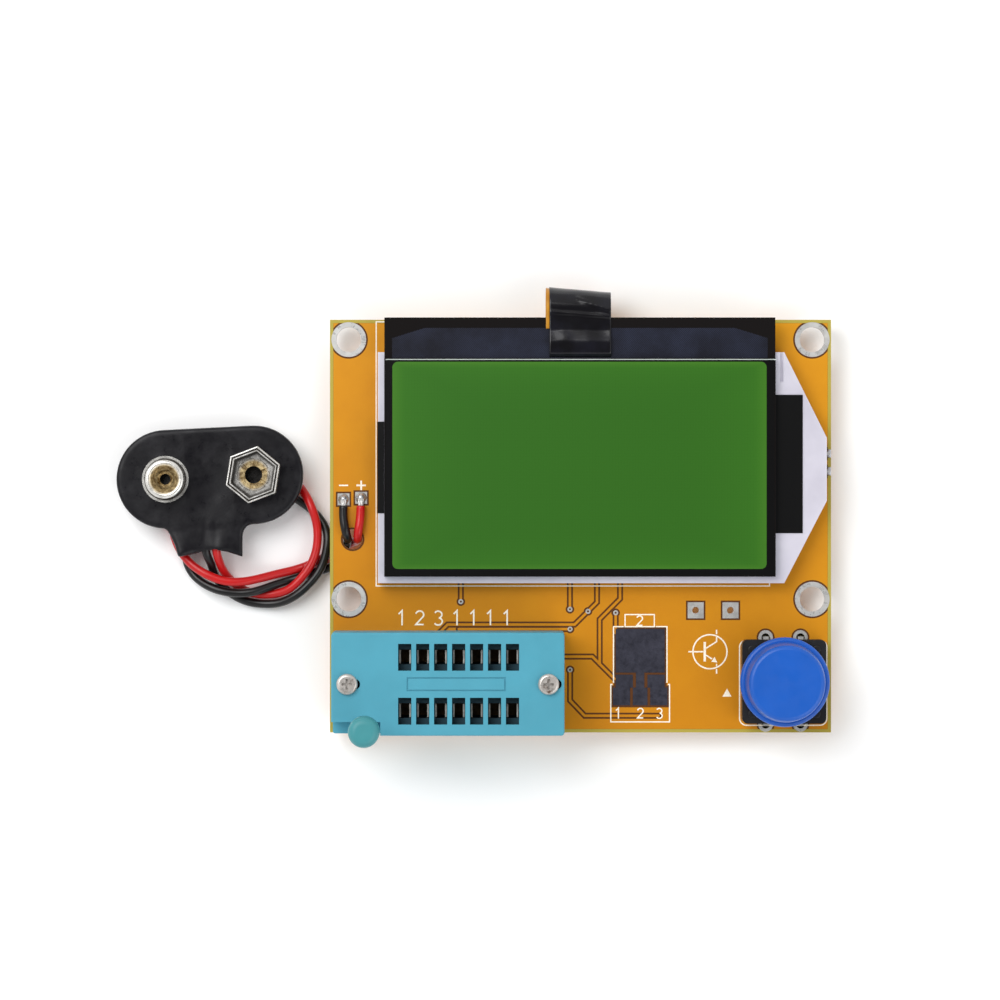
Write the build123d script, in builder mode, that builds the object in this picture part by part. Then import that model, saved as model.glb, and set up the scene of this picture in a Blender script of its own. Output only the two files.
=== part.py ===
from build123d import *
import os
from math import cos, radians, sin

# A pocket component tester: a bare circuit board with a backlit graphic display, a lever-locked
# 14-way test socket, one push button and a 9 V battery snap on two flexible leads.
#
# Frame: +X right, +Y towards the flex cable (rear), +Z up. The origin is the centre of the four
# mounting holes, on the board's underside. All sizes are in millimetres.

os.makedirs("parts", exist_ok=True)


def save(piece, label):
    """Names a finished piece and writes it as its own STEP file."""
    piece.part.label = label
    export_step(piece.part, f"parts/{label}.step")


def span(low, high):
    """(length, centre) of the stretch from low to high."""
    return high - low, (low + high) / 2


# ---------------------------------------------------------------- driving dimensions

board_left, board_right = -36.0, 36.0
board_front, board_rear = -37.8, 21.5
board_thick = 1.6
copper = 0.04  # copper foil, on both faces
plating = 0.06  # bare plated lands stand slightly proud of the masked copper
edge_margin = 0.5  # bare rim of the board that has no copper
track_width, track_gap = 0.36, 0.26

hole_spacing_x, hole_spacing_y = 66.6, 37.3
mount_hole_r, mount_land_r = 1.8, 2.5

deck = board_thick + copper  # parts on top stand here
keel = -copper  # parts underneath hang from here
table = -2.8  # the lowest level that any part may reach

# display stack, from the board upwards
foam_thick = 0.4
reflector_thick = 0.1
guide_thick = 2.4
tray_depth, film_thick = 0.3, 0.15
glass_thick, seal_thick = 0.7, 0.04
polariser_thick, mask_thick = 0.2, 0.04
reflector_z = deck + foam_thick
guide_z = reflector_z + reflector_thick
rear_glass_z = guide_z + guide_thick
seal_z = rear_glass_z + glass_thick
front_glass_z = seal_z + seal_thick
polariser_z = front_glass_z + glass_thick
mask_z = polariser_z + polariser_thick

glass_left, glass_right = -28.1, 27.8
glass_front, glass_rear = -15.35, 21.7
front_glass_rear = 15.8
window_left, window_right = -26.95, 26.5
window_front, window_rear = -14.25, 15.35
guide_left, guide_shoulder, guide_tip = -29.05, 29.1, 35.2
guide_front, guide_rear, tip_half = -16.3, 16.75, 4.5

# flex cable: off the glass ledge, round the rear edge of the board and under it
flex_left, flex_right, flex_thick = -5.0, 4.2, 0.12
flex_tape_left, flex_tape_right, tape_thick = -4.5, 4.3, 0.08
flex_loop_y, flex_start, flex_end = 23.25, 20.1, 14.0

# 14-way test socket
pitch, rows_apart, columns = 2.54, 7.62, 7
socket_left, socket_right = -35.45, -2.45
socket_front, socket_rear = -37.75, -23.15
socket_mid_y = (socket_front + socket_rear) / 2
slots_mid_x = -17.42
base_top, cover_z, cover_top = deck + 6.4, deck + 6.45, deck + 11.3
slot_width, slot_length, well_length = 1.87, 3.8, 2.1
cover_travel = 1.1
lever_x, lever_y, lever_z = -30.6, -36.8, deck + 5.55
rod_r, lobe_r = 0.8, 1.6
lobe_offset = 0.778  # gives cover_travel between 45 degrees before and after top centre
notch_rear, notch_right = -35.8, -28.5

# push button
switch_x, switch_y, switch_side = 29.1, -30.4, 12.0
switch_base_top, switch_plate_thick = deck + 3.0, 0.3
plunger_top = deck + 7.3
cap_z, cap_top, cap_r = deck + 3.9, deck + 10.4, 6.4

# battery leads and snap
lead_r = 0.62
snap_x, snap_y, snap_turn = -53.3, -1.1, 2.9
stud_spacing = 12.7
snap_low, snap_high = -1.3, 1.7
strain_x, strain_y, strain_r = -32.75, -10.05, 1.45

# ---------------------------------------------------------------- board layout

board_length, board_mid_x = span(board_left, board_right)
board_depth, board_mid_y = span(board_front, board_rear)

socket_pins = [
    (slots_mid_x + (column - 3) * pitch, socket_mid_y + row * rows_apart / 2)
    for row in (-1, 1)
    for column in range(columns)
]
switch_pins = [(switch_x + dx, switch_y + dy) for dx in (-2.5, 2.5) for dy in (-6.25, 6.25)]
power_pins = [(16.55, -20.25), (21.55, -20.25)]
backlight_pins = [(35.75, 2.27), (35.75, -0.27)]
battery_lands = [(-34.06, -4.3), (-31.52, -4.1)]
pin_hole_r, switch_hole_r, power_hole_r, notch_r = 0.45, 0.6, 0.5, 0.4
power_land, battery_land = 2.3, 1.7

track_paths = [
    [(-17.2, -12.0), (-17.2, -19.0)],
    [(-1.52, -12.0), (-1.52, -20.1)],
    [(-20.9, -24.1), (-19.1, -22.3), (-0.85, -22.3), (2.37, -19.1), (2.37, -12.0)],
    [(-17.5, -22.95), (-1.5, -22.95)],
    [(-1.5, -28.8), (-1.5, -33.2), (0.6, -35.4), (11.2, -35.4)],
    [(-3.5, -26.9), (1.7, -26.9), (4.9, -30.1)],
    [(5.68, -12.0), (5.68, -18.6), (2.75, -21.55), (2.75, -27.8)],
    [(5.05, -20.6), (5.05, -23.5)],
]
via_spots = [
    (-17.2, -19.0),
    (-1.52, -20.1),
    (-1.5, -22.95),
    (1.08, -20.4),
    (-1.5, -28.8),
    (5.05, -20.6),
]
via_r, via_hole_r = 0.36, 0.15

under_track_paths = [
    [(-1.52, -20.1), (-1.52, -12.5), (-1.52, -4.5)],
    [(-25.04, -26.6), (-25.04, -19.5), (-15.0, -9.5), (-15.0, -4.0)],
    [(-22.5, -26.6), (-22.5, -19.8), (-12.6, -9.9), (-12.6, -4.0)],
    [(-19.96, -26.6), (-19.96, -20.0), (-10.2, -10.2), (-10.2, -4.0)],
    [(1.08, -20.4), (6.0, -15.5), (6.0, -4.5)],
    [(31.6, -24.2), (29.4, -22.0), (29.4, -12.0), (23.8, -6.4), (8.5, -6.4), (8.5, -1.0)],
    [(-31.5, -4.1), (-31.5, 4.0), (-25.0, 10.5)],
    [(5.05, -20.6), (11.0, -14.6), (15.0, -14.6)],
]

# The three bare pads for surface-mounted parts: 2 has a tall head and a leg, 1 and 3 flank the leg.
test_x = 8.57
head_half, foot_half, leg_half, leg_foot_half = 3.52, 3.92, 0.6, 1.05
head_rear, head_front, side_rear, step_y, pads_front = -22.9, -29.2, -29.5, -31.35, -33.9
side_inner, side_inner_foot = 1.05, 1.45


def draw_tracks(paths, width, mode=Mode.ADD):
    """Adds each path to the open sketch as a ribbon of the given width, with round ends."""
    for path in paths:
        with BuildLine() as centre_line:
            Polyline(*path)
        trace(centre_line.edges(), line_width=width, mode=mode)
        with Locations(path[0], path[-1]):
            Circle(width / 2, mode=mode)


def draw_test_pads(grow, mode=Mode.ADD):
    """Adds the three test pads to the open sketch, each grown outwards by grow."""
    leg_and_head = [
        (-head_half, head_rear),
        (head_half, head_rear),
        (head_half, head_front),
        (leg_half, head_front),
        (leg_half, step_y),
        (leg_foot_half, step_y),
        (leg_foot_half, pads_front),
        (-leg_foot_half, pads_front),
        (-leg_foot_half, step_y),
        (-leg_half, step_y),
        (-leg_half, head_front),
        (-head_half, head_front),
    ]
    side = [
        (side_inner, side_rear),
        (head_half, side_rear),
        (head_half, step_y),
        (foot_half, step_y),
        (foot_half, pads_front),
        (side_inner_foot, pads_front),
        (side_inner_foot, step_y),
        (side_inner, step_y),
    ]
    mirrored_side = [(-x, y) for x, y in side]
    for outline in (leg_and_head, side, mirrored_side):
        with BuildSketch(mode=Mode.PRIVATE) as pad:
            with Locations((test_x, 0)):
                Polygon(*outline, align=None)
            if grow:
                offset(amount=grow, kind=Kind.INTERSECTION)
        add(pad.sketch, mode=mode)


def draw_pin_lands(grow, mode):
    """Clears or fills the round lands where pins and holes come through the copper."""
    with GridLocations(hole_spacing_x, hole_spacing_y, 2, 2):
        Circle(mount_land_r + grow, mode=mode)
    with Locations(*socket_pins):
        Circle(0.8 + grow, mode=mode)
    with Locations(*switch_pins):
        Circle(1.05 + grow, mode=mode)
    with Locations(*backlight_pins):
        Circle(0.75 + grow, mode=mode)
    with Locations((strain_x, strain_y)):
        Circle(strain_r + grow, mode=mode)


with BuildPart() as circuit_board:
    with BuildSketch():
        with Locations((board_mid_x, board_mid_y)):
            Rectangle(board_length, board_depth)
        with GridLocations(hole_spacing_x, hole_spacing_y, 2, 2):
            Circle(mount_hole_r + plating, mode=Mode.SUBTRACT)
        with Locations((strain_x, strain_y)):
            Circle(strain_r, mode=Mode.SUBTRACT)
        with Locations(*socket_pins):
            Circle(pin_hole_r, mode=Mode.SUBTRACT)
        with Locations(*switch_pins):
            Circle(switch_hole_r, mode=Mode.SUBTRACT)
        with Locations(*power_pins):
            Circle(power_hole_r, mode=Mode.SUBTRACT)
        with Locations(*backlight_pins):
            Circle(notch_r, mode=Mode.SUBTRACT)
    extrude(amount=board_thick)
save(circuit_board, "circuit_board")

with BuildPart() as top_copper_pour:
    with BuildSketch(Plane.XY.offset(board_thick)):
        with Locations((board_mid_x, board_mid_y)):
            Rectangle(board_length - 2 * edge_margin, board_depth - 2 * edge_margin)
        draw_pin_lands(0.25, Mode.SUBTRACT)
        draw_tracks(track_paths, track_width + 2 * track_gap, Mode.SUBTRACT)
        with Locations(*via_spots):
            Circle(via_r + track_gap, mode=Mode.SUBTRACT)
        with Locations(*power_pins):
            Rectangle(power_land + 0.5, power_land + 0.5, mode=Mode.SUBTRACT)
        with Locations(*battery_lands):
            Rectangle(battery_land + 0.5, battery_land + 0.5, mode=Mode.SUBTRACT)
        draw_test_pads(0.3, Mode.SUBTRACT)
    extrude(amount=copper)
save(top_copper_pour, "top_copper_pour")

with BuildPart() as top_tracks:
    with BuildSketch(Plane.XY.offset(board_thick)):
        draw_tracks(track_paths, track_width)
        with Locations(*via_spots):
            Circle(via_r, mode=Mode.SUBTRACT)
        draw_test_pads(0.02, Mode.SUBTRACT)
    extrude(amount=copper)
save(top_tracks, "top_tracks")

with BuildPart() as vias:
    with BuildSketch(Plane.XY.offset(board_thick)):
        with Locations(*via_spots):
            Circle(via_r)
            Circle(via_hole_r, mode=Mode.SUBTRACT)
    extrude(amount=plating)
save(vias, "vias")

with BuildPart() as mounting_hole_plating:
    for z in (-plating, board_thick):
        with BuildSketch(Plane.XY.offset(z)):
            with GridLocations(hole_spacing_x, hole_spacing_y, 2, 2):
                Circle(mount_land_r)
        extrude(amount=plating)
    with BuildSketch():
        with GridLocations(hole_spacing_x, hole_spacing_y, 2, 2):
            Circle(mount_hole_r + plating)
    extrude(amount=board_thick)
    with BuildSketch(Plane.XY.offset(-plating)):
        with GridLocations(hole_spacing_x, hole_spacing_y, 2, 2):
            Circle(mount_hole_r)
    extrude(amount=board_thick + 2 * plating, mode=Mode.SUBTRACT)
save(mounting_hole_plating, "mounting_hole_plating")

with BuildPart() as test_pads:
    with BuildSketch(Plane.XY.offset(board_thick)):
        draw_test_pads(0)
    extrude(amount=plating)
save(test_pads, "test_pads")

with BuildPart() as solder_lands:
    with BuildSketch(Plane.XY.offset(board_thick)):
        with Locations(*power_pins):
            Rectangle(power_land, power_land)
            Circle(power_hole_r, mode=Mode.SUBTRACT)
        with Locations(*battery_lands):
            Rectangle(battery_land, battery_land)
    extrude(amount=plating)
save(solder_lands, "solder_lands")

# ---------------------------------------------------------------- display

guide_outline = [
    (guide_left, guide_front),
    (guide_shoulder, guide_front),
    (guide_tip, -tip_half),
    (guide_tip, tip_half),
    (guide_shoulder, guide_rear),
    (guide_left, guide_rear),
]
glass_length, glass_mid_x = span(glass_left, glass_right)
rear_glass_depth, rear_glass_mid_y = span(glass_front, glass_rear)
front_glass_depth, front_glass_mid_y = span(glass_front, front_glass_rear)
window_length, window_mid_x = span(window_left, window_right)
window_depth, window_mid_y = span(window_front, window_rear)
tray_length, tray_depth_y = glass_length - 1.6, front_glass_depth - 1.2

with BuildPart() as display_foam_tape:
    with BuildSketch(Plane.XY.offset(deck)):
        with GridLocations(0, 22, 1, 2):
            Rectangle(50, 6)
    extrude(amount=foam_thick)
save(display_foam_tape, "display_foam_tape")

with BuildPart() as backlight_reflector:
    with BuildSketch(Plane.XY.offset(reflector_z)):
        Polygon(*guide_outline, align=None)
        offset(amount=-0.15, kind=Kind.INTERSECTION)
    extrude(amount=reflector_thick)
save(backlight_reflector, "backlight_reflector")

# The guide's horn spreads the light of the one edge LED at its tip over the whole window.
led_x, led_y, led_height = 34.0, 1.0, 1.1
with BuildPart() as backlight_light_guide:
    with BuildSketch(Plane.XY.offset(guide_z)):
        Polygon(*guide_outline, align=None)
    extrude(amount=guide_thick)
    with BuildSketch(Plane.XY.offset(rear_glass_z - tray_depth)):
        with Locations((glass_mid_x, front_glass_mid_y)):
            Rectangle(tray_length, tray_depth_y)
    extrude(amount=tray_depth, mode=Mode.SUBTRACT)
    with BuildSketch(Plane.XY.offset(guide_z)):
        with Locations((led_x, led_y)):
            Rectangle(1.3, 3.9)
        with Locations(*[(34.9, y) for _, y in backlight_pins]):
            Rectangle(0.8, 0.6)
    extrude(amount=led_height + 0.1, mode=Mode.SUBTRACT)
    with BuildSketch(Plane.XY.offset(rear_glass_z - 0.35)):
        with Locations((guide_shoulder - 0.35, guide_rear - 2.1)):
            Rectangle(0.45, 4.2)
    extrude(amount=0.35, mode=Mode.SUBTRACT)
save(backlight_light_guide, "backlight_light_guide")

with BuildPart() as backlight_led:
    with BuildSketch(Plane.XY.offset(guide_z)):
        with Locations((led_x, led_y)):
            Rectangle(1.2, 3.8)
    extrude(amount=led_height)
save(backlight_led, "backlight_led")

pin_x = backlight_pins[0][0]
pin_z = guide_z + 0.6
with BuildPart() as backlight_leads:
    for _, y in backlight_pins:
        with BuildSketch(Plane.XZ.offset(-(y + 0.2))):
            with BuildLine() as pin_line:
                Polyline((led_x + 0.61, pin_z), (pin_x, pin_z), (pin_x, -0.9))
            trace(pin_line.edges(), line_width=0.2)
        extrude(amount=0.4)
save(backlight_leads, "backlight_leads")

with BuildPart() as backlight_diffuser:
    with BuildSketch(Plane.XY.offset(rear_glass_z - tray_depth)):
        with Locations((glass_mid_x, front_glass_mid_y)):
            Rectangle(tray_length - 0.1, tray_depth_y - 0.1)
    extrude(amount=film_thick)
save(backlight_diffuser, "backlight_diffuser")

with BuildPart() as rear_polariser:
    with BuildSketch(Plane.XY.offset(rear_glass_z - film_thick)):
        with Locations((glass_mid_x, front_glass_mid_y)):
            Rectangle(tray_length - 0.2, tray_depth_y - 0.2)
    extrude(amount=film_thick)
save(rear_polariser, "rear_polariser")

with BuildPart() as rear_glass:
    with BuildSketch(Plane.XY.offset(rear_glass_z)):
        with Locations((glass_mid_x, rear_glass_mid_y)):
            Rectangle(glass_length, rear_glass_depth)
    extrude(amount=glass_thick)
save(rear_glass, "rear_glass")

with BuildPart() as glass_seal:
    with BuildSketch(Plane.XY.offset(seal_z)):
        with Locations((glass_mid_x, front_glass_mid_y)):
            Rectangle(glass_length - 0.4, front_glass_depth - 0.4)
            Rectangle(glass_length - 2.0, front_glass_depth - 2.0, mode=Mode.SUBTRACT)
    extrude(amount=seal_thick)
save(glass_seal, "glass_seal")

with BuildPart() as front_glass:
    with BuildSketch(Plane.XY.offset(front_glass_z)):
        with Locations((glass_mid_x, front_glass_mid_y)):
            Rectangle(glass_length, front_glass_depth)
    extrude(amount=glass_thick)
save(front_glass, "front_glass")

with BuildPart() as front_polariser:
    with BuildSketch(Plane.XY.offset(polariser_z)):
        with Locations((glass_mid_x, front_glass_mid_y)):
            Rectangle(glass_length - 0.5, front_glass_depth - 0.4)
    extrude(amount=polariser_thick)
save(front_polariser, "front_polariser")

with BuildPart() as display_mask:
    with BuildSketch(Plane.XY.offset(mask_z)):
        with Locations((glass_mid_x, front_glass_mid_y)):
            Rectangle(glass_length - 0.5, front_glass_depth - 0.4)
        with Locations((window_mid_x, window_mid_y)):
            RectangleRounded(window_length, window_depth, 0.8, mode=Mode.SUBTRACT)
    extrude(amount=mask_thick)
save(display_mask, "display_mask")

ledge_mid_y = (front_glass_rear + glass_rear) / 2
with BuildPart() as ledge_tracks:
    with BuildSketch(Plane.XY.offset(seal_z)):
        with BuildLine():
            Polyline(
                (glass_left + 1.1, front_glass_rear + 0.1),
                (glass_right - 1.1, front_glass_rear + 0.1),
                (glass_right - 1.1, ledge_mid_y),
                (glass_right - 5.8, glass_rear - 1.5),
                (glass_left + 5.8, glass_rear - 1.5),
                (glass_left + 1.1, ledge_mid_y),
                close=True,
            )
        make_face()
    extrude(amount=0.02)
    with BuildSketch(Plane.XY.offset(seal_z)):
        with Locations(((flex_left + flex_right) / 2, flex_start + 2)):
            Rectangle(flex_right - flex_left + 0.1, 4.1)
    extrude(amount=0.02, mode=Mode.SUBTRACT)
save(ledge_tracks, "ledge_tracks")

chip_thick = 0.35
with BuildPart() as display_driver_chip:
    with BuildSketch(Plane.XY.offset(seal_z + 0.02)):
        with Locations(((flex_left + flex_right) / 2, 17.4)):
            Rectangle(7.6, 1.1)
    extrude(amount=chip_thick)
save(display_driver_chip, "display_driver_chip")

flex_top_z = seal_z + flex_thick / 2
flex_under_z = keel - flex_thick / 2
loop_mid_z = (flex_top_z + flex_under_z) / 2
loop_r = (flex_top_z - flex_under_z) / 2

with BuildPart() as flex_cable:
    with BuildSketch(Plane.YZ.offset(flex_left)):
        with BuildLine() as flex_line:
            Line((flex_start, flex_top_z), (flex_loop_y, flex_top_z))
            ThreePointArc(
                (flex_loop_y, flex_top_z),
                (flex_loop_y + loop_r, loop_mid_z),
                (flex_loop_y, flex_under_z),
            )
            Line((flex_loop_y, flex_under_z), (flex_end, flex_under_z))
        trace(flex_line.edges(), line_width=flex_thick)
    extrude(amount=flex_right - flex_left)
save(flex_cable, "flex_cable")

# The cover tape tents over the driver chip and follows the outside of the cable's loop.
tape_loop_r = loop_r + flex_thick / 2 + tape_thick / 2 + 0.01
tape_on_glass_z = seal_z + 0.02 + tape_thick / 2
tape_on_chip_z = seal_z + 0.02 + chip_thick + 0.08 + tape_thick / 2
tape_on_flex_z = loop_mid_z + tape_loop_r
tape_end = radians(50)
with BuildPart() as flex_cover_tape:
    with BuildSketch(Plane.YZ.offset(flex_tape_left)):
        with BuildLine() as tape_line:
            Polyline(
                (16.05, tape_on_glass_z),
                (16.6, tape_on_chip_z),
                (18.3, tape_on_chip_z),
                (19.9, tape_on_flex_z),
                (flex_loop_y, tape_on_flex_z),
            )
            ThreePointArc(
                (flex_loop_y, tape_on_flex_z),
                (flex_loop_y + tape_loop_r, loop_mid_z),
                (flex_loop_y + tape_loop_r * cos(tape_end), loop_mid_z - tape_loop_r * sin(tape_end)),
            )
        trace(tape_line.edges(), line_width=tape_thick)
    extrude(amount=flex_tape_right - flex_tape_left)
save(flex_cover_tape, "flex_cover_tape")

light_shield_z = rear_glass_z
with BuildPart() as light_shield_left:
    with BuildSketch(Plane.XZ.offset(-6.8)):
        with BuildLine() as shield_line:
            Polyline(
                (glass_left - 0.05, light_shield_z + 0.04),
                (guide_left - 0.05, light_shield_z + 0.04),
                (guide_left - 0.05, reflector_z),
            )
        trace(shield_line.edges(), line_width=0.06)
    extrude(amount=13.1)
save(light_shield_left, "light_shield_left")

with BuildPart() as light_shield_right:
    with BuildSketch(Plane.XY.offset(light_shield_z + 0.01)):
        shield_length, shield_mid_x = span(glass_right + 0.05, 31.75)
        shield_depth, shield_mid_y = span(-9.15, 10.65)
        with Locations((shield_mid_x, shield_mid_y)):
            Rectangle(shield_length, shield_depth)
    extrude(amount=0.06)
save(light_shield_right, "light_shield_right")

# ---------------------------------------------------------------- test socket

socket_length, socket_mid_x = span(socket_left, socket_right)
socket_depth = socket_rear - socket_front
screw_spots = [(-33.2, socket_mid_y), (-4.7, socket_mid_y)]
screw_r, screw_head_r = 0.65, 1.5
lobe_spans = [(-34.2, -32.2), (-28.7, -26.7)]
notch_length, notch_mid_x = span(socket_left - 1, notch_right)
notch_depth, notch_mid_y = span(socket_front - 1, notch_rear)
lobe_room = lobe_r + lobe_offset + 0.1
contact_floor = deck + 1.6
seat_width = 2 * (rod_r + 0.05)
rod_rear = -25.2
blade_gap, blade_thick, blade_width, blade_top = 0.6, 0.22, 1.9, deck + 8.7

with BuildPart() as socket_base:
    with BuildSketch(Plane.XY.offset(deck)):
        with Locations((socket_mid_x, socket_mid_y)):
            Rectangle(socket_length, socket_depth)
    extrude(amount=base_top - deck)
    fillet(socket_base.edges().filter_by(Axis.Z), radius=0.3)
    # the notch where the lever lies when it is folded down
    with BuildSketch(Plane.XY.offset(deck + 3.9)):
        with Locations((notch_mid_x, notch_mid_y)):
            Rectangle(notch_length, notch_depth)
    extrude(amount=base_top - deck, mode=Mode.SUBTRACT)
    # open saddle for the rod, and room for its two lobes
    with BuildSketch(Plane.XZ.offset(-rod_rear)):
        with Locations((lever_x, lever_z)):
            Circle(rod_r + 0.05)
        with Locations((lever_x, lever_z + 2)):
            Rectangle(seat_width, 4)
    extrude(amount=rod_rear - socket_front + 1, mode=Mode.SUBTRACT)
    for low, high in lobe_spans:
        with BuildSketch(Plane.XZ.offset(-(high + 0.1))):
            with Locations((lever_x, lever_z)):
                Circle(lobe_room)
        extrude(amount=high - low + 0.2, mode=Mode.SUBTRACT)
    # wells for the contacts, and holes for their tails
    with BuildSketch(Plane.XY.offset(contact_floor)):
        with Locations(*socket_pins):
            Rectangle(1.9, 2.6)
    extrude(amount=base_top, mode=Mode.SUBTRACT)
    with BuildSketch(Plane.XY.offset(deck)):
        with Locations(*socket_pins):
            Rectangle(0.6, 0.4)
        with Locations(*screw_spots):
            Circle(screw_r + 0.02)
    extrude(amount=base_top, mode=Mode.SUBTRACT)
save(socket_base, "socket_base")

groove_half = lobe_r + 0.05
lobe_rest_x = lever_x + lobe_offset * sin(radians(45))
with BuildPart() as socket_cover:
    with BuildSketch(Plane.XY.offset(cover_z)):
        with Locations((socket_mid_x, socket_mid_y)):
            Rectangle(socket_length, socket_depth)
    extrude(amount=cover_top - cover_z)
    fillet(socket_cover.edges().filter_by(Axis.Z), radius=0.5)
    fillet(socket_cover.faces().sort_by(Axis.Z)[-1].edges(), radius=0.25)
    with BuildSketch(Plane.XY.offset(cover_z)):
        with Locations((notch_mid_x, notch_mid_y)):
            Rectangle(notch_length, notch_depth)
    extrude(amount=cover_top, mode=Mode.SUBTRACT)
    # each slot is a long mouth over a shorter well, and the wells share one channel per row
    with BuildSketch(Plane.XY.offset(cover_top)):
        with Locations(*socket_pins):
            Rectangle(slot_width, slot_length)
    extrude(amount=-2.2, mode=Mode.SUBTRACT)
    with BuildSketch(Plane.XY.offset(cover_top)):
        with Locations(*socket_pins):
            Rectangle(slot_width, well_length)
    extrude(amount=-2.6, mode=Mode.SUBTRACT)
    channel_length, channel_mid_x = span(slots_mid_x - 9.0, slots_mid_x + 9.9)
    with BuildSketch(Plane.XY.offset(cover_z)):
        with Locations((channel_mid_x, socket_mid_y)):
            with GridLocations(0, rows_apart, 1, 2):
                Rectangle(channel_length, 2.5)
    extrude(amount=cover_top - 2.4 - cover_z, mode=Mode.SUBTRACT)
    # the lobes push the cover along from inside this groove
    with BuildSketch(Plane.XY.offset(cover_z)):
        for low, high in lobe_spans:
            with Locations((lobe_rest_x, (low + high) / 2)):
                Rectangle(2 * groove_half, high - low + 0.2)
    extrude(amount=lever_z + lobe_offset + lobe_r + 0.1 - cover_z, mode=Mode.SUBTRACT)
    # slots that let the cover travel past the two screws
    with BuildSketch(Plane.XY.offset(cover_z)):
        for x, y in screw_spots:
            with Locations((x + cover_travel / 2, y)):
                SlotCenterToCenter(cover_travel, 2 * (screw_r + 0.1))
    extrude(amount=cover_top, mode=Mode.SUBTRACT)
    # engraved frame between the rows
    with BuildSketch(Plane.XY.offset(cover_top)):
        with Locations((-17.75, socket_mid_y)):
            Rectangle(14.0, 1.95)
            Rectangle(13.6, 1.55, mode=Mode.SUBTRACT)
    extrude(amount=-0.15, mode=Mode.SUBTRACT)
save(socket_cover, "socket_cover")

with BuildPart() as socket_contacts:
    with BuildSketch(Plane.XY.offset(contact_floor + 0.01)):
        with Locations(*socket_pins):
            Rectangle(2 * (blade_gap + blade_thick), blade_width)
    extrude(amount=0.3)
    with BuildSketch(Plane.XY.offset(contact_floor + 0.31)):
        with Locations(*socket_pins):
            with GridLocations(2 * blade_gap + blade_thick, 0, 2, 1):
                Rectangle(blade_thick, blade_width)
    extrude(amount=blade_top - contact_floor - 0.31)
    with BuildSketch(Plane.XY.offset(-2.4)):
        with Locations(*socket_pins):
            Rectangle(0.5, 0.3)
    extrude(amount=contact_floor + 0.01 + 2.4)
save(socket_contacts, "socket_contacts")

# One bent steel rod: a shaft across the socket with two eccentric lobes, and the arm outside it.
arm_top = 19.4
bend = 1.0
with BuildPart() as socket_lever:
    with BuildLine() as rod_line:
        Line((lever_x, rod_rear - 0.2, lever_z), (lever_x, lever_y + bend, lever_z))
        ThreePointArc(
            (lever_x, lever_y + bend, lever_z),
            (lever_x, lever_y + bend * (1 - sin(radians(45))), lever_z + bend * (1 - cos(radians(45)))),
            (lever_x, lever_y, lever_z + bend),
        )
        Line((lever_x, lever_y, lever_z + bend), (lever_x, lever_y, arm_top))
    with BuildSketch(Plane(rod_line.line @ 0, z_dir=rod_line.line % 0)):
        Circle(rod_r)
    sweep()
    for low, high in lobe_spans:
        with BuildSketch(Plane.XZ.offset(-high)):
            with Locations((lobe_rest_x, lever_z + lobe_offset * cos(radians(45)))):
                Circle(lobe_r)
        extrude(amount=high - low)
save(socket_lever, "socket_lever")

knob_low, knob_high, knob_r = 17.6, 23.2, 2.2
with BuildPart() as socket_lever_knob:
    with BuildSketch(Plane.XZ.offset(-lever_y)):
        with BuildLine():
            Polyline(
                (lever_x + rod_r + 0.01, knob_low),
                (lever_x + 1.5, knob_low),
                (lever_x + knob_r, knob_low + 1.6),
                (lever_x + knob_r, knob_high - 1.1),
            )
            JernArc((lever_x + knob_r, knob_high - 1.1), (0, 1), 1.1, 90)
            Polyline(
                (lever_x + knob_r - 1.1, knob_high),
                (lever_x, knob_high),
                (lever_x, arm_top + 0.02),
                (lever_x + rod_r + 0.01, arm_top + 0.02),
                (lever_x + rod_r + 0.01, knob_low),
            )
        make_face()
    revolve(axis=Axis((lever_x, lever_y, 0), (0, 0, 1)))
save(socket_lever_knob, "socket_lever_knob")

screw_seat = cover_top + 0.03
with BuildPart() as socket_screws:
    for x, y in screw_spots:
        with BuildSketch(Plane.XY.offset(screw_seat)):
            with Locations((x, y)):
                Circle(screw_head_r)
        extrude(amount=0.75)
    fillet(socket_screws.faces().group_by(Axis.Z)[-1].edges(), radius=0.45)
    with BuildSketch(Plane.XY.offset(screw_seat + 0.75)):
        with Locations(*screw_spots):
            Rectangle(1.5, 0.36)
            Rectangle(0.36, 1.5)
    extrude(amount=-0.4, mode=Mode.SUBTRACT)
    with BuildSketch(Plane.XY.offset(deck + 1.2)):
        with Locations(*screw_spots):
            Circle(screw_r)
    extrude(amount=screw_seat - deck - 1.2)
save(socket_screws, "socket_screws")


# ---------------------------------------------------------------- push button

plunger_half, collar_r, flange_r, cavity_r = 1.9, 3.3, 3.9, 4.15
plate_hole_r = 3.4
dome_z, dome_r = deck + 0.9, 3.2
terminal_z = deck + 0.6
rivet_reach = 4.6

with BuildPart() as switch_base:
    with BuildSketch(Plane.XY.offset(deck)):
        with Locations((switch_x, switch_y)):
            RectangleRounded(switch_side, switch_side, 0.8)
    extrude(amount=switch_base_top - deck)
    with BuildSketch(Plane.XY.offset(dome_z)):
        with Locations((switch_x, switch_y)):
            Circle(cavity_r)
    extrude(amount=switch_base_top - dome_z, mode=Mode.SUBTRACT)
    with Locations(*[(x, switch_y + dy, terminal_z) for x, _ in switch_pins[:3:2] for dy in (-5.6, 5.6)]):
        Box(0.9, 1.0, 0.34, mode=Mode.SUBTRACT)
save(switch_base, "switch_base")

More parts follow.
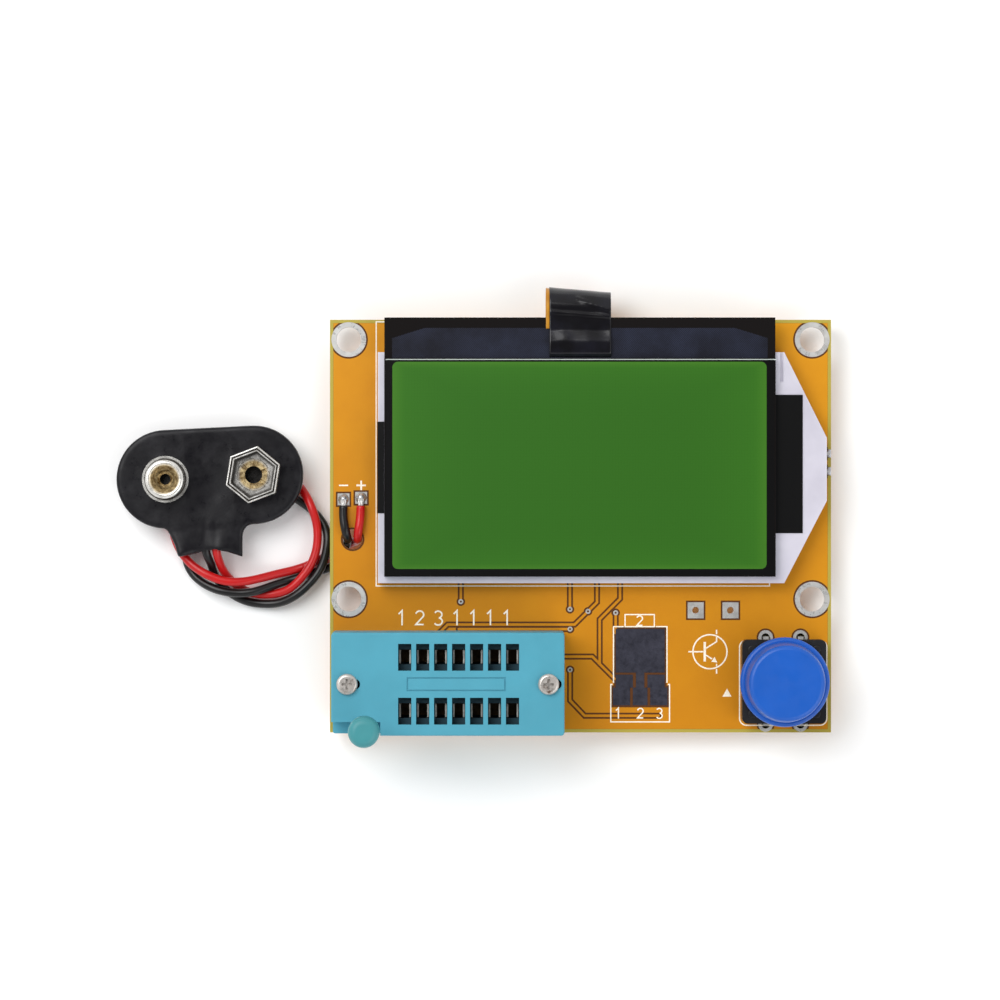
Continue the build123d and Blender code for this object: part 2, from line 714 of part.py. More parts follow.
with BuildPart() as switch_cover_plate:
    with BuildSketch(Plane.XY.offset(switch_base_top + 0.01)):
        with Locations((switch_x, switch_y)):
            RectangleRounded(switch_side, switch_side, 0.8)
            Circle(plate_hole_r, mode=Mode.SUBTRACT)
    extrude(amount=switch_plate_thick)
    with BuildSketch(Plane.XY.offset(switch_base_top + 0.01 + switch_plate_thick)):
        with Locations((switch_x, switch_y)):
            with GridLocations(2 * rivet_reach, 2 * rivet_reach, 2, 2):
                Circle(0.6)
    extrude(amount=0.2)
    fillet(switch_cover_plate.faces().group_by(Axis.Z)[-1].edges(), radius=0.15)
save(switch_cover_plate, "switch_cover_plate")

with BuildPart() as switch_dome:
    with BuildSketch(Plane.XZ.offset(-switch_y)):
        with BuildLine() as dome_line:
            ThreePointArc(
                (switch_x, dome_z + 0.55),
                (switch_x + dome_r * 0.55, dome_z + 0.4),
                (switch_x + dome_r, dome_z + 0.07),
            )
        trace(dome_line.edges(), line_width=0.1)
        split(bisect_by=Plane.YZ.offset(switch_x))
    revolve(axis=Axis((switch_x, switch_y, 0), (0, 0, 1)))
save(switch_dome, "switch_dome")

flange_low = deck + 2.25
with BuildPart() as switch_plunger:
    with BuildSketch(Plane.XY.offset(flange_low)):
        with Locations((switch_x, switch_y)):
            Circle(flange_r)
    extrude(amount=switch_base_top - 0.05 - flange_low)
    with BuildSketch(Plane.XY.offset(dome_z + 0.97)):
        with Locations((switch_x, switch_y)):
            Circle(0.9)
    extrude(amount=flange_low - dome_z - 0.97)
    with BuildSketch(Plane.XY.offset(flange_low)):
        with Locations((switch_x, switch_y)):
            Circle(collar_r)
    extrude(amount=deck + 3.75 - flange_low)
    with BuildSketch(Plane.XY.offset(flange_low)):
        with Locations((switch_x, switch_y)):
            RectangleRounded(2 * plunger_half, 2 * plunger_half, 0.3)
    extrude(amount=plunger_top - flange_low)
save(switch_plunger, "switch_plunger")

# The cap is a flanged, stepped shell with a square socket that grips the plunger.
top_r, step_r = 5.35, 5.75
with BuildPart() as switch_cap:
    with BuildSketch(Plane.XZ.offset(-switch_y)):
        with BuildLine():
            Polyline(
                (switch_x, cap_top - 1.6),
                (switch_x + 4.7, cap_top - 1.6),
                (switch_x + 4.9, cap_z),
                (switch_x + cap_r - 0.2, cap_z),
                (switch_x + cap_r, cap_z + 0.2),
                (switch_x + cap_r, cap_z + 1.0),
            )
            RadiusArc((switch_x + cap_r, cap_z + 1.0), (switch_x + cap_r - 0.5, cap_z + 1.5), -0.5)
            Polyline(
                (switch_x + cap_r - 0.5, cap_z + 1.5),
                (switch_x + step_r, cap_z + 1.5),
                (switch_x + top_r + 0.1, cap_top - 0.7),
            )
            RadiusArc((switch_x + top_r + 0.1, cap_top - 0.7), (switch_x + top_r - 0.55, cap_top), -0.7)
            Polyline(
                (switch_x + top_r - 0.55, cap_top),
                (switch_x, cap_top),
                (switch_x, cap_top - 1.6),
            )
        make_face()
    revolve(axis=Axis((switch_x, switch_y, 0), (0, 0, 1)))
    with BuildSketch(Plane.XY.offset(cap_z + 0.2)):
        with Locations((switch_x, switch_y)):
            Circle(3.3)
            Rectangle(10.3, 0.8)
            Rectangle(0.8, 10.3)
    extrude(amount=cap_top - 1.6 - cap_z - 0.2)
    with BuildSketch(Plane.XY.offset(cap_z)):
        with Locations((switch_x, switch_y)):
            RectangleRounded(2 * plunger_half + 0.02, 2 * plunger_half + 0.02, 0.3)
    extrude(amount=plunger_top + 0.02 - cap_z, mode=Mode.SUBTRACT)
save(switch_cap, "switch_cap")

with BuildPart() as switch_terminals:
    for x, y in switch_pins:
        away = 1 if y > switch_y else -1
        with BuildSketch(Plane.YZ.offset(x - 0.4)):
            with BuildLine() as terminal_line:
                Polyline((switch_y + away * 5.15, terminal_z), (y, terminal_z), (y, -1.9))
            trace(terminal_line.edges(), line_width=0.3)
        extrude(amount=0.8)
save(switch_terminals, "switch_terminals")

# Cones of solder round the pins, half-cones in the two notches at the board's edge, and a row of
# flat joints on the flex cable.
with BuildPart() as solder_joints:
    with BuildSketch(Plane.XY.offset(-plating)):
        with Locations(*switch_pins):
            Circle(0.98)
        with Locations(*socket_pins):
            Circle(0.78)
    extrude(amount=-1.1, taper=25)
    for z, height in ((board_thick, 0.35), (0, -0.5)):
        with BuildSketch(Plane.XY.offset(z)):
            with Locations(*backlight_pins):
                Circle(0.62)
        extrude(amount=height, taper=25)
    with Locations(*[(x, y, -1) for x, y in switch_pins]):
        Box(0.82, 0.32, 4, mode=Mode.SUBTRACT)
    with Locations(*[(x, y, -1) for x, y in socket_pins]):
        Box(0.52, 0.32, 4, mode=Mode.SUBTRACT)
    with Locations(*[(x, y, 0) for x, y in backlight_pins]):
        Box(0.24, 0.44, 8, mode=Mode.SUBTRACT)
    with Locations((board_right + 1, 1, 0)):
        Box(2, 10, 8, mode=Mode.SUBTRACT)
    with BuildSketch(Plane.XY.offset(keel - flex_thick)):
        with Locations(((flex_left + flex_right) / 2, flex_end + 0.9)):
            with GridLocations(0.7, 0, 12, 1):
                RectangleRounded(0.38, 1.5, 0.15)
    extrude(amount=-0.12, taper=20)
save(solder_joints, "solder_joints")

# Ring lands round the plated pin holes: both faces for the switch, underneath for the rest.
with BuildPart() as pin_lands:
    with BuildSketch(Plane.XY.offset(board_thick)):
        with Locations(*switch_pins):
            Circle(1.05)
            Circle(switch_hole_r, mode=Mode.SUBTRACT)
    extrude(amount=copper)
    with BuildSketch():
        with Locations(*switch_pins):
            Circle(1.05)
            Circle(switch_hole_r, mode=Mode.SUBTRACT)
        with Locations(*socket_pins):
            Circle(0.8)
            Circle(pin_hole_r, mode=Mode.SUBTRACT)
        with Locations(*power_pins):
            Circle(0.95)
            Circle(power_hole_r, mode=Mode.SUBTRACT)
    extrude(amount=-plating)
save(pin_lands, "pin_lands")

# ---------------------------------------------------------------- parts under the board

mcu_x, mcu_y, mcu_side, mcu_pitch = -1.5, 1.5, 7.0, 0.8
crystal_spot = (12.6, 5.2)
regulator_spot = (-24.5, 4.0)
transistor_spots = [(-18.5, 12.0, 0), (21.0, -3.5, 0), (25.5, -3.5, 0)]
resistor_spots = [
    (-15.0, -12.3, 90),
    (-12.6, -12.3, 90),
    (-10.2, -12.3, 90),
    (-15.0, -8.6, 90),
    (-12.6, -8.6, 90),
    (-10.2, -8.6, 90),
    (-6.6, -8.6, 90),
    (-13.0, 3.2, 0),
    (-13.0, 6.0, 0),
    (17.0, -4.4, 90),
    (13.6, -4.4, 90),
    (23.0, 5.2, 90),
    (25.6, 5.2, 90),
    (-23.5, 13.0, 0),
    (20.5, 12.0, 0),
]
capacitor_spots = [
    (8.6, 10.4, 0),
    (15.6, 10.4, 0),
    (7.4, -4.4, 90),
    (-24.5, 0.4, 0),
    (-18.6, 4.0, 90),
    (-9.4, 10.6, 0),
    (22.0, -9.5, 0),
]

with BuildPart() as bottom_copper_pour:
    with BuildSketch():
        with Locations((board_mid_x, board_mid_y)):
            Rectangle(board_length - 2 * edge_margin, board_depth - 2 * edge_margin)
        draw_pin_lands(0.25, Mode.SUBTRACT)
        draw_tracks(under_track_paths, track_width + 2 * track_gap, Mode.SUBTRACT)
        with Locations(*power_pins):
            Circle(1.2, mode=Mode.SUBTRACT)
        with Locations(*via_spots):
            Circle(via_r + track_gap, mode=Mode.SUBTRACT)
    extrude(amount=-copper)
save(bottom_copper_pour, "bottom_copper_pour")

with BuildPart() as bottom_tracks:
    with BuildSketch():
        draw_tracks(under_track_paths, track_width)
        with Locations(*socket_pins):
            Circle(0.82, mode=Mode.SUBTRACT)
        with Locations(*switch_pins):
            Circle(1.07, mode=Mode.SUBTRACT)
        with Locations(*via_spots):
            Circle(via_hole_r, mode=Mode.SUBTRACT)
    extrude(amount=-copper)
save(bottom_tracks, "bottom_tracks")

with BuildPart() as microcontroller:
    with BuildSketch(Plane.XY.offset(keel - 0.1)):
        with Locations((mcu_x, mcu_y)):
            Rectangle(mcu_side, mcu_side)
    extrude(amount=-1.0)
    chamfer(microcontroller.faces().sort_by(Axis.Z)[0].edges(), length=0.15)
    with BuildSketch(Plane.XY.offset(keel - 1.1)):
        with Locations((mcu_x - 2.6, mcu_y - 2.6)):
            Circle(0.4)
    extrude(amount=0.08, mode=Mode.SUBTRACT)
save(microcontroller, "microcontroller")


def draw_gull_wing(inner, outer, rise, foot, thick):
    """Adds the side profile of a lead that leaves a body at 'rise' and stands on a foot."""
    with BuildLine() as wing_line:
        Polyline(
            (inner, keel - rise),
            (outer - foot - 0.15, keel - rise),
            (outer - foot, keel - thick / 2),
            (outer, keel - thick / 2),
        )
    trace(wing_line.edges(), line_width=thick)


with BuildPart() as one_side_of_leads:
    for index in range(8):
        along = (index - 3.5) * mcu_pitch
        with BuildSketch(Plane.XZ.offset(-along)):
            draw_gull_wing(mcu_side / 2 + 0.005, mcu_side / 2 + 1.0, 0.6, 0.45, 0.12)
        extrude(amount=0.17, both=True)

with BuildPart() as microcontroller_leads:
    with Locations((mcu_x, mcu_y)):
        with PolarLocations(0, 4):
            add(one_side_of_leads.part)
save(microcontroller_leads, "microcontroller_leads")

with BuildPart() as crystal_can:
    with BuildSketch(Plane.XY.offset(keel)):
        with Locations(crystal_spot):
            RectangleRounded(12.0, 4.8, 0.5)
    extrude(amount=-0.5)
    with BuildSketch(Plane.XY.offset(keel - 0.5)):
        with Locations(crystal_spot):
            SlotOverall(11.0, 4.1)
    extrude(amount=table - keel + 0.5)
    fillet(crystal_can.faces().sort_by(Axis.Z)[0].edges(), radius=0.35)
save(crystal_can, "crystal_can")

regulator_x, regulator_y = regulator_spot
with BuildPart() as voltage_regulator:
    with BuildSketch(Plane.XY.offset(keel - 0.02)):
        with Locations(regulator_spot):
            Rectangle(4.5, 2.5)
    extrude(amount=-1.5)
    chamfer(voltage_regulator.faces().sort_by(Axis.Z)[0].edges(), length=0.2)
save(voltage_regulator, "voltage_regulator")

with BuildPart() as transistors:
    for x, y, turn in transistor_spots:
        with BuildSketch(Plane.XY.offset(keel - 0.08)):
            with Locations(Location((x, y), turn)):
                Rectangle(2.9, 1.3)
        extrude(amount=-1.0)
    chamfer(transistors.faces().group_by(Axis.Z)[0].edges(), length=0.12)
save(transistors, "transistors")

with BuildPart() as small_package_leads:
    for dx, width in ((-1.5, 0.42), (0, 0.5), (1.5, 0.42)):
        with BuildSketch(Plane.XY.offset(keel)):
            with Locations((regulator_x + dx, regulator_y - 1.76)):
                Rectangle(width, 1.0)
        extrude(amount=-0.4)
    with BuildSketch(Plane.XY.offset(keel)):
        with Locations((regulator_x, regulator_y + 1.66)):
            Rectangle(1.7, 0.8)
    extrude(amount=-0.4)
    for x, y, turn in transistor_spots:
        for dx, way in ((-0.95, -1), (0.95, -1), (0, 1)):
            with BuildSketch(Plane.YZ.offset(x + dx)):
                with BuildLine() as leg_line:
                    Polyline(
                        (y + way * 0.655, keel - 0.55),
                        (y + way * 0.85, keel - 0.55),
                        (y + way * 0.95, keel - 0.06),
                        (y + way * 1.3, keel - 0.06),
                    )
                trace(leg_line.edges(), line_width=0.12)
            extrude(amount=0.21, both=True)
save(small_package_leads, "small_package_leads")


def draw_chip_bodies(spots, length, width):
    for x, y, turn in spots:
        with Locations(Location((x, y), turn)):
            Rectangle(length, width)


with BuildPart() as resistors:
    with BuildSketch(Plane.XY.offset(keel)):
        draw_chip_bodies(resistor_spots, 1.3, 1.25)
    extrude(amount=-0.5)
save(resistors, "resistors")

with BuildPart() as capacitors:
    with BuildSketch(Plane.XY.offset(keel)):
        draw_chip_bodies(capacitor_spots, 1.2, 1.25)
    extrude(amount=-0.9)
save(capacitors, "capacitors")

with BuildPart() as chip_end_caps:
    for spots, reach, height in ((resistor_spots, 0.84, 0.52), (capacitor_spots, 0.81, 0.92)):
        with BuildSketch(Plane.XY.offset(keel)):
            for x, y, turn in spots:
                with Locations(Location((x, y), turn)):
                    with GridLocations(2 * reach, 0, 2, 1):
                        Rectangle(0.36, 1.27)
        extrude(amount=-height)
    fillet(chip_end_caps.faces().group_by(Axis.Z)[0].edges(), radius=0.08)
save(chip_end_caps, "chip_end_caps")

# ---------------------------------------------------------------- battery leads

# Each lead is laid by way-points: first from its land on the board down through the strain
# relief hole to the board's edge, then round the coil and into the tail of the battery snap.
red_board_points = [
    (-31.55, -5.3, 2.3),
    (-31.7, -7.4, 2.4),
    (-31.95, -9.2, 2.3),
    (-32.05, -10.0, 1.3),
    (-32.1, -10.1, 0.0),
    (-32.6, -10.4, -1.6),
    (-33.9, -10.9, -2.15),
    (-35.5, -11.8, -2.15),
]
black_board_points = [
    (-34.05, -5.3, 2.3),
    (-34.0, -7.4, 2.4),
    (-33.65, -9.2, 2.3),
    (-33.45, -10.0, 1.3),
    (-33.45, -10.1, 0.2),
    (-33.7, -10.8, -0.75),
    (-34.3, -12.2, -1.05),
    (-35.4, -13.7, -2.0),
]
red_coil_points = [
    (-35.8, -11.95, -2.15),
    (-38.0, -13.2, -2.15),
    (-40.6, -14.3, -2.15),
    (-43.4, -15.0, -1.6),
    (-46.6, -15.8, -0.6),
    (-49.6, -16.2, 0.0),
    (-52.2, -15.8, 0.1),
    (-54.4, -14.8, -0.05),
    (-56.3, -13.4, -0.6),
    (-57.7, -11.6, -1.0),
    (-58.6, -9.6, -1.9),
    (-58.9, -6.0, -2.15),
    (-57.7, -2.2, -2.15),
    (-54.8, 0.8, -2.15),
    (-50.5, 2.0, -2.15),
    (-46.0, 1.3, -2.15),
    (-42.4, -0.8, -2.15),
    (-40.4, -2.6, -1.9),
    (-38.9, -5.1, -0.8),
    (-38.1, -7.4, -0.7),
    (-37.9, -10.4, -0.7),
    (-38.6, -13.2, -0.7),
    (-40.2, -15.6, -0.75),
    (-42.1, -17.3, -1.1),
    (-44.6, -18.0, -1.9),
    (-47.0, -17.9, -2.15),
    (-49.0, -17.1, -2.15),
    (-50.5, -15.9, -1.9),
    (-51.4, -14.7, -1.2),
    (-51.95, -13.4, -0.2),
]
black_coil_points = [
    (-35.85, -14.0, -2.15),
    (-38.2, -14.8, -2.15),
    (-40.6, -15.6, -2.15),
    (-42.6, -16.2, -2.0),
    (-44.8, -16.9, -1.25),
    (-47.0, -17.6, -0.65),
    (-49.6, -17.8, -0.6),
    (-52.1, -17.4, -0.65),
    (-54.2, -16.5, -1.3),
    (-55.8, -15.2, -2.0),
    (-56.7, -13.6, -2.15),
    (-57.0, -11.6, -2.15),
    (-57.3, -9.0, -2.15),
    (-57.2, -6.2, -2.15),
    (-56.3, -3.5, -2.15),
    (-54.0, -1.0, -2.15),
    (-50.4, 0.2, -2.15),
    (-46.5, -0.5, -2.15),
    (-43.5, -2.5, -2.15),
    (-40.6, -4.5, -2.15),
    (-38.6, -6.0, -2.15),
    (-37.3, -7.5, -1.9),
    (-36.5, -9.4, -1.0),
    (-36.6, -11.6, -0.7),
    (-37.4, -14.2, -0.7),
    (-39.1, -16.5, -0.7),
    (-41.1, -18.2, -0.95),
    (-43.3, -19.2, -1.6),
    (-45.7, -19.4, -2.1),
    (-48.2, -19.0, -2.15),
    (-50.4, -17.9, -2.15),
    (-52.2, -16.2, -2.1),
    (-52.9, -14.8, -1.45),
    (-53.3, -13.4, -0.3),
]


def snap_point(u, v, z):
    """A point given in the battery snap's own turned axes."""
    turn = radians(snap_turn)
    return (snap_x + u * cos(turn) - v * sin(turn), snap_y + u * sin(turn) + v * cos(turn), z)


tail_lead_z = 0.75
red_tail = [snap_point(0.4, v, tail_lead_z) for v in (-10.7, -9.0, -7.2)]
black_tail = [snap_point(-1.1, v, tail_lead_z) for v in (-10.7, -9.0, -7.2)]


def lay_lead(points):
    """Sweeps one insulated lead through its way-points in the open part."""
    with BuildLine() as route:
        Spline(*points)
    with BuildSketch(Plane(route.line @ 0, z_dir=route.line % 0)) as section:
        Circle(lead_r)
    sweep(section.sketch, path=route.line)


with BuildPart() as red_lead_board_end:
    lay_lead(red_board_points)
save(red_lead_board_end, "red_lead_board_end")

with BuildPart() as black_lead_board_end:
    lay_lead(black_board_points)
save(black_lead_board_end, "black_lead_board_end")

with BuildPart() as red_lead:
    lay_lead(red_coil_points + red_tail)
save(red_lead, "red_lead")

with BuildPart() as black_lead:
    lay_lead(black_coil_points + black_tail)
save(black_lead, "black_lead")

with BuildPart() as lead_solder_joints:
    for x, y in battery_lands:
        with BuildSketch(Plane.XY.offset(board_thick + plating)):
            with Locations((x, y)):
                Circle(0.78)
        extrude(amount=0.95, taper=18)
    fillet(lead_solder_joints.faces().group_by(Axis.Z)[-1].edges(), radius=0.3)
save(lead_solder_joints, "lead_solder_joints")

# ---------------------------------------------------------------- battery snap

snap_plane = Plane(
    origin=(snap_x, snap_y, 0),
    x_dir=(cos(radians(snap_turn)), sin(radians(snap_turn)), 0),
    z_dir=(0, 0, 1),
)
cover_r = 7.1
contact_spots = [(-stud_spacing / 2, 0), (stud_spacing / 2, 0)]
plate_low, plate_high = 0.2, 1.2
stem_r, hex_stem_r = 1.0, 1.5
tail_outline = [
    (-7.4, -6.0),
    (-6.2, -7.9),
    (-5.5, -9.6),
    (-5.1, -11.3),
    (-2.8, -10.9),
    (-0.4, -10.6),
    (1.8, -10.8),
    (4.1, -11.7),
    (4.3, -8.4),
    (4.7, -7.5),
    (5.6, -7.0),
    (4.0, -4.0),
    (-5.0, -4.0),
]

with BuildPart() as snap_cover:
    with BuildSketch(snap_plane.offset(snap_low)):
        SlotCenterToCenter(stud_spacing, 2 * cover_r)
    extrude(amount=snap_high - snap_low)
    with BuildSketch(snap_plane.offset(-0.1)):
        Polygon(*tail_outline, align=None)
    extrude(amount=snap_high + 0.1)
    fillet(snap_cover.faces().sort_by(Axis.Z)[0].edges(), radius=0.9)
    fillet(snap_cover.faces().sort_by(Axis.Z)[-1].edges(), radius=0.4)
    with BuildSketch(snap_plane.offset(plate_low - 0.45)):
        SlotCenterToCenter(stud_spacing, 2 * cover_r - 2.0)
    extrude(amount=plate_high - plate_low + 0.47, mode=Mode.SUBTRACT)
    with BuildSketch(snap_plane.offset(plate_high)):
        with Locations(contact_spots[0]):
            Circle(stem_r + 0.1)
        with Locations(contact_spots[1]):
            Circle(hex_stem_r + 0.1)
    extrude(amount=1, mode=Mode.SUBTRACT)
    with Locations(*[Location(snap_point(u, -9.0, tail_lead_z), (90, 0, snap_turn)) for u in (0.4, -1.1)]):
        Cylinder(lead_r + 0.12, 6.0, mode=Mode.SUBTRACT)
    # the tail is cut open underneath where the leads drop out of it
    with BuildSketch(snap_plane.offset(-0.3)):
        with Locations((-0.35, -10.6)):
            Rectangle(3.0, 3.6)
    extrude(amount=tail_lead_z + 0.3, mode=Mode.SUBTRACT)
save(snap_cover, "snap_cover")

with BuildPart() as snap_plate:
    with BuildSketch(snap_plane.offset(plate_low)):
        SlotCenterToCenter(stud_spacing, 2 * cover_r - 2.1)
        with Locations(contact_spots[0]):
            Circle(stem_r + 0.02, mode=Mode.SUBTRACT)
        with Locations(contact_spots[1]):
            Circle(hex_stem_r + 0.02, mode=Mode.SUBTRACT)
        with Locations((-0.35, -6.2)):
            Rectangle(3.2, 2.6, mode=Mode.SUBTRACT)
    extrude(amount=plate_high - plate_low)
save(snap_plate, "snap_plate")

seat_z, snap_top = snap_high + 0.01, 4.4
round_spot, hex_spot = (snap_point(u, v, 0) for u, v in contact_spots)
with BuildPart() as snap_round_contact:
    with BuildSketch(Plane(origin=round_spot, x_dir=(1, 0, 0), z_dir=(0, -1, 0))):
        with BuildLine():
            Polyline(
                (0, plate_low - 0.25),
                (1.7, plate_low - 0.25),
                (1.7, plate_low - 0.02),
                (stem_r, plate_low - 0.02),
                (stem_r, seat_z),
                (3.35, seat_z),
                (3.35, seat_z + 0.3),
                (2.6, seat_z + 0.3),
                (2.45, seat_z + 0.7),
                (2.8, snap_top - 0.7),
            )
            ThreePointArc((2.8, snap_top - 0.7), (2.55, snap_top), (1.9, snap_top - 0.25))
            Polyline(
                (1.9, snap_top - 0.25),
                (1.45, snap_top - 1.0),
                (1.05, seat_z + 0.7),
                (0.78, seat_z + 0.4),
                (0.78, plate_low - 0.05),
                (0, plate_low - 0.05),
                (0, plate_low - 0.25),
            )
        make_face()
    revolve(axis=Axis(round_spot, (0, 0, 1)))
save(snap_round_contact, "snap_round_contact")

hex_outer, hex_wall = 4.15, 0.72
with BuildPart() as snap_hex_contact:
    with BuildSketch(snap_plane.offset(seat_z)):
        with Locations(contact_spots[1]):
            RegularPolygon(hex_outer, 6, rotation=18)
    extrude(amount=snap_top - seat_z)
    fillet(snap_hex_contact.faces().sort_by(Axis.Z)[-1].edges(), radius=0.15)
    with BuildSketch(snap_plane.offset(seat_z + 0.3)):
        with Locations(contact_spots[1]):
            RegularPolygon(hex_outer - hex_wall, 6, rotation=18)
    extrude(amount=snap_top, mode=Mode.SUBTRACT)
    # crease where each spring side is folded back on itself
    with BuildSketch(snap_plane.offset(snap_top)):
        with Locations(contact_spots[1]):
            RegularPolygon(hex_outer - 0.3, 6, rotation=18)
            RegularPolygon(hex_outer - 0.46, 6, rotation=18, mode=Mode.SUBTRACT)
    extrude(amount=-0.3, mode=Mode.SUBTRACT)
    # stem through the plate, headed over underneath
    with BuildSketch(snap_plane.offset(plate_low - 0.02)):
        with Locations(contact_spots[1]):
            Circle(hex_stem_r)
    extrude(amount=seat_z + 0.3 - plate_low + 0.02)
    with BuildSketch(snap_plane.offset(plate_low - 0.25)):
        with Locations(contact_spots[1]):
            Circle(2.1)
    extrude(amount=0.23)
    # six petals around the mouth of the stem
    with BuildSketch(snap_plane.offset(seat_z + 0.3)):
        with Locations(contact_spots[1]):
            Circle(2.35)
            with PolarLocations(1.95, 6, start_angle=18):
                Rectangle(1.2, 0.3, mode=Mode.SUBTRACT)
    extrude(amount=0.35, taper=20)
    with BuildSketch(snap_plane.offset(plate_low - 0.05)):
        with Locations(contact_spots[1]):
            Circle(1.25)
    extrude(amount=5, mode=Mode.SUBTRACT)
save(snap_hex_contact, "snap_hex_contact")
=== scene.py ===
from math import cos, hypot, pi, radians, sin

import bmesh
import bpy
import numpy as np
from mathutils import Matrix, Vector, noise


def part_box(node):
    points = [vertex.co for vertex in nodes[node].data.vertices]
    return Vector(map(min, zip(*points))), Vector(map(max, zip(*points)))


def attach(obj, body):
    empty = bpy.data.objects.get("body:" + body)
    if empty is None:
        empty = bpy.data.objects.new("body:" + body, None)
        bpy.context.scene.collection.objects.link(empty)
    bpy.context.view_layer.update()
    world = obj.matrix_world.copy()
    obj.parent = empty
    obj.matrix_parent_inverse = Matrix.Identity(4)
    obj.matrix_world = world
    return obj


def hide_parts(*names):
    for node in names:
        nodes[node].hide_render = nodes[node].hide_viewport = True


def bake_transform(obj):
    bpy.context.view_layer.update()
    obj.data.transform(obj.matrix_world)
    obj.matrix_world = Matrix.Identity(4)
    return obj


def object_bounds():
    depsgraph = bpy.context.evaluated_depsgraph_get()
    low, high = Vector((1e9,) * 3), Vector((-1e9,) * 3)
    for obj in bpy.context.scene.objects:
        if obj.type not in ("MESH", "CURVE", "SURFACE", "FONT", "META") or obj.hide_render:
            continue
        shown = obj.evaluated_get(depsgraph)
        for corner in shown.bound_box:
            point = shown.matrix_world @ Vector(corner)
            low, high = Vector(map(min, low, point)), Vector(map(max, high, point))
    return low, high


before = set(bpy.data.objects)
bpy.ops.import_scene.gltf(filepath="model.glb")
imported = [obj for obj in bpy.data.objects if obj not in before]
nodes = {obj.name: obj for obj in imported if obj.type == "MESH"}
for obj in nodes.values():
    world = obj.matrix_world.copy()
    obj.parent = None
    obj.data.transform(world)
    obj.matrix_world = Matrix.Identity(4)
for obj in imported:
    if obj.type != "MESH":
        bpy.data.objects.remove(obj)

cad_box = [list(v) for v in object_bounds()]
scene = bpy.context.scene
MM = 0.001

# the battery snap: its middle in millimetres, and how far it is turned
SNAP_X, SNAP_Y = -53.3, -1.1
SNAP_TURN = radians(2.9)

# the test socket's slots, in millimetres
SLOT_PITCH = 2.54
SOCKET_X = -17.42
SLOT_ROWS = (-26.64, -34.26)

# the two supply holes at the right of the board, in metres
SUPPLY_HOLES_X = (0.01655, 0.02155)
SUPPLY_HOLES_Y = -0.02025


# ------------------------------------------------------------------ materials


def srgb(r, g, b):
    """An 8-bit display colour as linear RGBA."""

    def lin(c):
        c = c / 255.0
        return c / 12.92 if c <= 0.04045 else ((c + 0.055) / 1.055) ** 2.4

    return (lin(r), lin(g), lin(b), 1.0)


class Mat:
    """A small helper that wires one node material."""

    def __init__(self, name):
        self.mat = bpy.data.materials.new(name)
        self.mat.use_nodes = True
        self.tree = self.mat.node_tree
        self.nodes = self.tree.nodes
        self.links = self.tree.links
        self.bsdf = self.nodes["Principled BSDF"]
        self.coords = self.nodes.new("ShaderNodeTexCoord").outputs["Object"]

    def set(self, **values):
        for key, value in values.items():
            socket = self.bsdf.inputs[key.replace("_", " ")]
            if isinstance(value, bpy.types.NodeSocket):
                self.links.new(value, socket)
            else:
                socket.default_value = value
        return self

    def noise(self, scale, detail=3.0, rough=0.55, stretch=None, distortion=0.0):
        """Noise of the given scale (cycles per metre), as a 0-1 factor socket."""
        tex = self.nodes.new("ShaderNodeTexNoise")
        tex.inputs["Scale"].default_value = scale
        tex.inputs["Detail"].default_value = detail
        tex.inputs["Roughness"].default_value = rough
        tex.inputs["Distortion"].default_value = distortion
        source = self.coords
        if stretch:
            mapping = self.nodes.new("ShaderNodeMapping")
            mapping.inputs["Scale"].default_value = stretch
            self.links.new(source, mapping.inputs["Vector"])
            source = mapping.outputs["Vector"]
        self.links.new(source, tex.inputs["Vector"])
        return tex.outputs["Fac"]

    def ramp(self, factor, *stops):
        """A colour ramp; stops are (position, colour)."""
        node = self.nodes.new("ShaderNodeValToRGB")
        elements = node.color_ramp.elements
        while len(elements) < len(stops):
            elements.new(0.5)
        for element, (position, colour) in zip(elements, stops):
            element.position = position
            element.color = colour
        self.links.new(factor, node.inputs["Fac"])
        return node.outputs["Color"]

    def mix(self, factor, a, b):
        node = self.nodes.new("ShaderNodeMix")
        node.data_type = "RGBA"
        self._feed(node.inputs[0], factor)
        self._feed(node.inputs[6], a)
        self._feed(node.inputs[7], b)
        return node.outputs[2]

    def _feed(self, socket, value):
        if isinstance(value, bpy.types.NodeSocket):
            self.links.new(value, socket)
        else:
            socket.default_value = value

    def math(self, operation, a, b=0.0):
        node = self.nodes.new("ShaderNodeMath")
        node.operation = operation
        self._feed(node.inputs[0], a)
        self._feed(node.inputs[1], b)
        return node.outputs[0]

    def span(self, dx, dy):
        """The length of the vector dx, dy."""
        squares = [self.math("MULTIPLY", d, d) for d in (dx, dy)]
        return self.math("SQRT", self.math("ADD", *squares))

    def scale_range(self, value, low, high, to_low=0.0, to_high=1.0):
        """The value carried from one range to another, and held at its ends."""
        node = self.nodes.new("ShaderNodeMapRange")
        self._feed(node.inputs["Value"], value)
        node.inputs["From Min"].default_value = low
        node.inputs["From Max"].default_value = high
        node.inputs["To Min"].default_value = to_low
        node.inputs["To Max"].default_value = to_high
        return node.outputs[0]

    def axis(self, index, normal=False):
        """One component of the object coordinates, or of the surface normal."""
        split = self.nodes.new("ShaderNodeSeparateXYZ")
        if normal:
            source = self.nodes.new("ShaderNodeTexCoord").outputs["Normal"]
        else:
            source = self.coords
        self.links.new(source, split.inputs[0])
        return split.outputs[index]

    def bump(self, height, distance, strength=1.0):
        node = self.nodes.new("ShaderNodeBump")
        node.inputs["Distance"].default_value = distance
        node.inputs["Strength"].default_value = strength
        self._feed(node.inputs["Height"], height)
        self.links.new(node.outputs["Normal"], self.bsdf.inputs["Normal"])
        return self


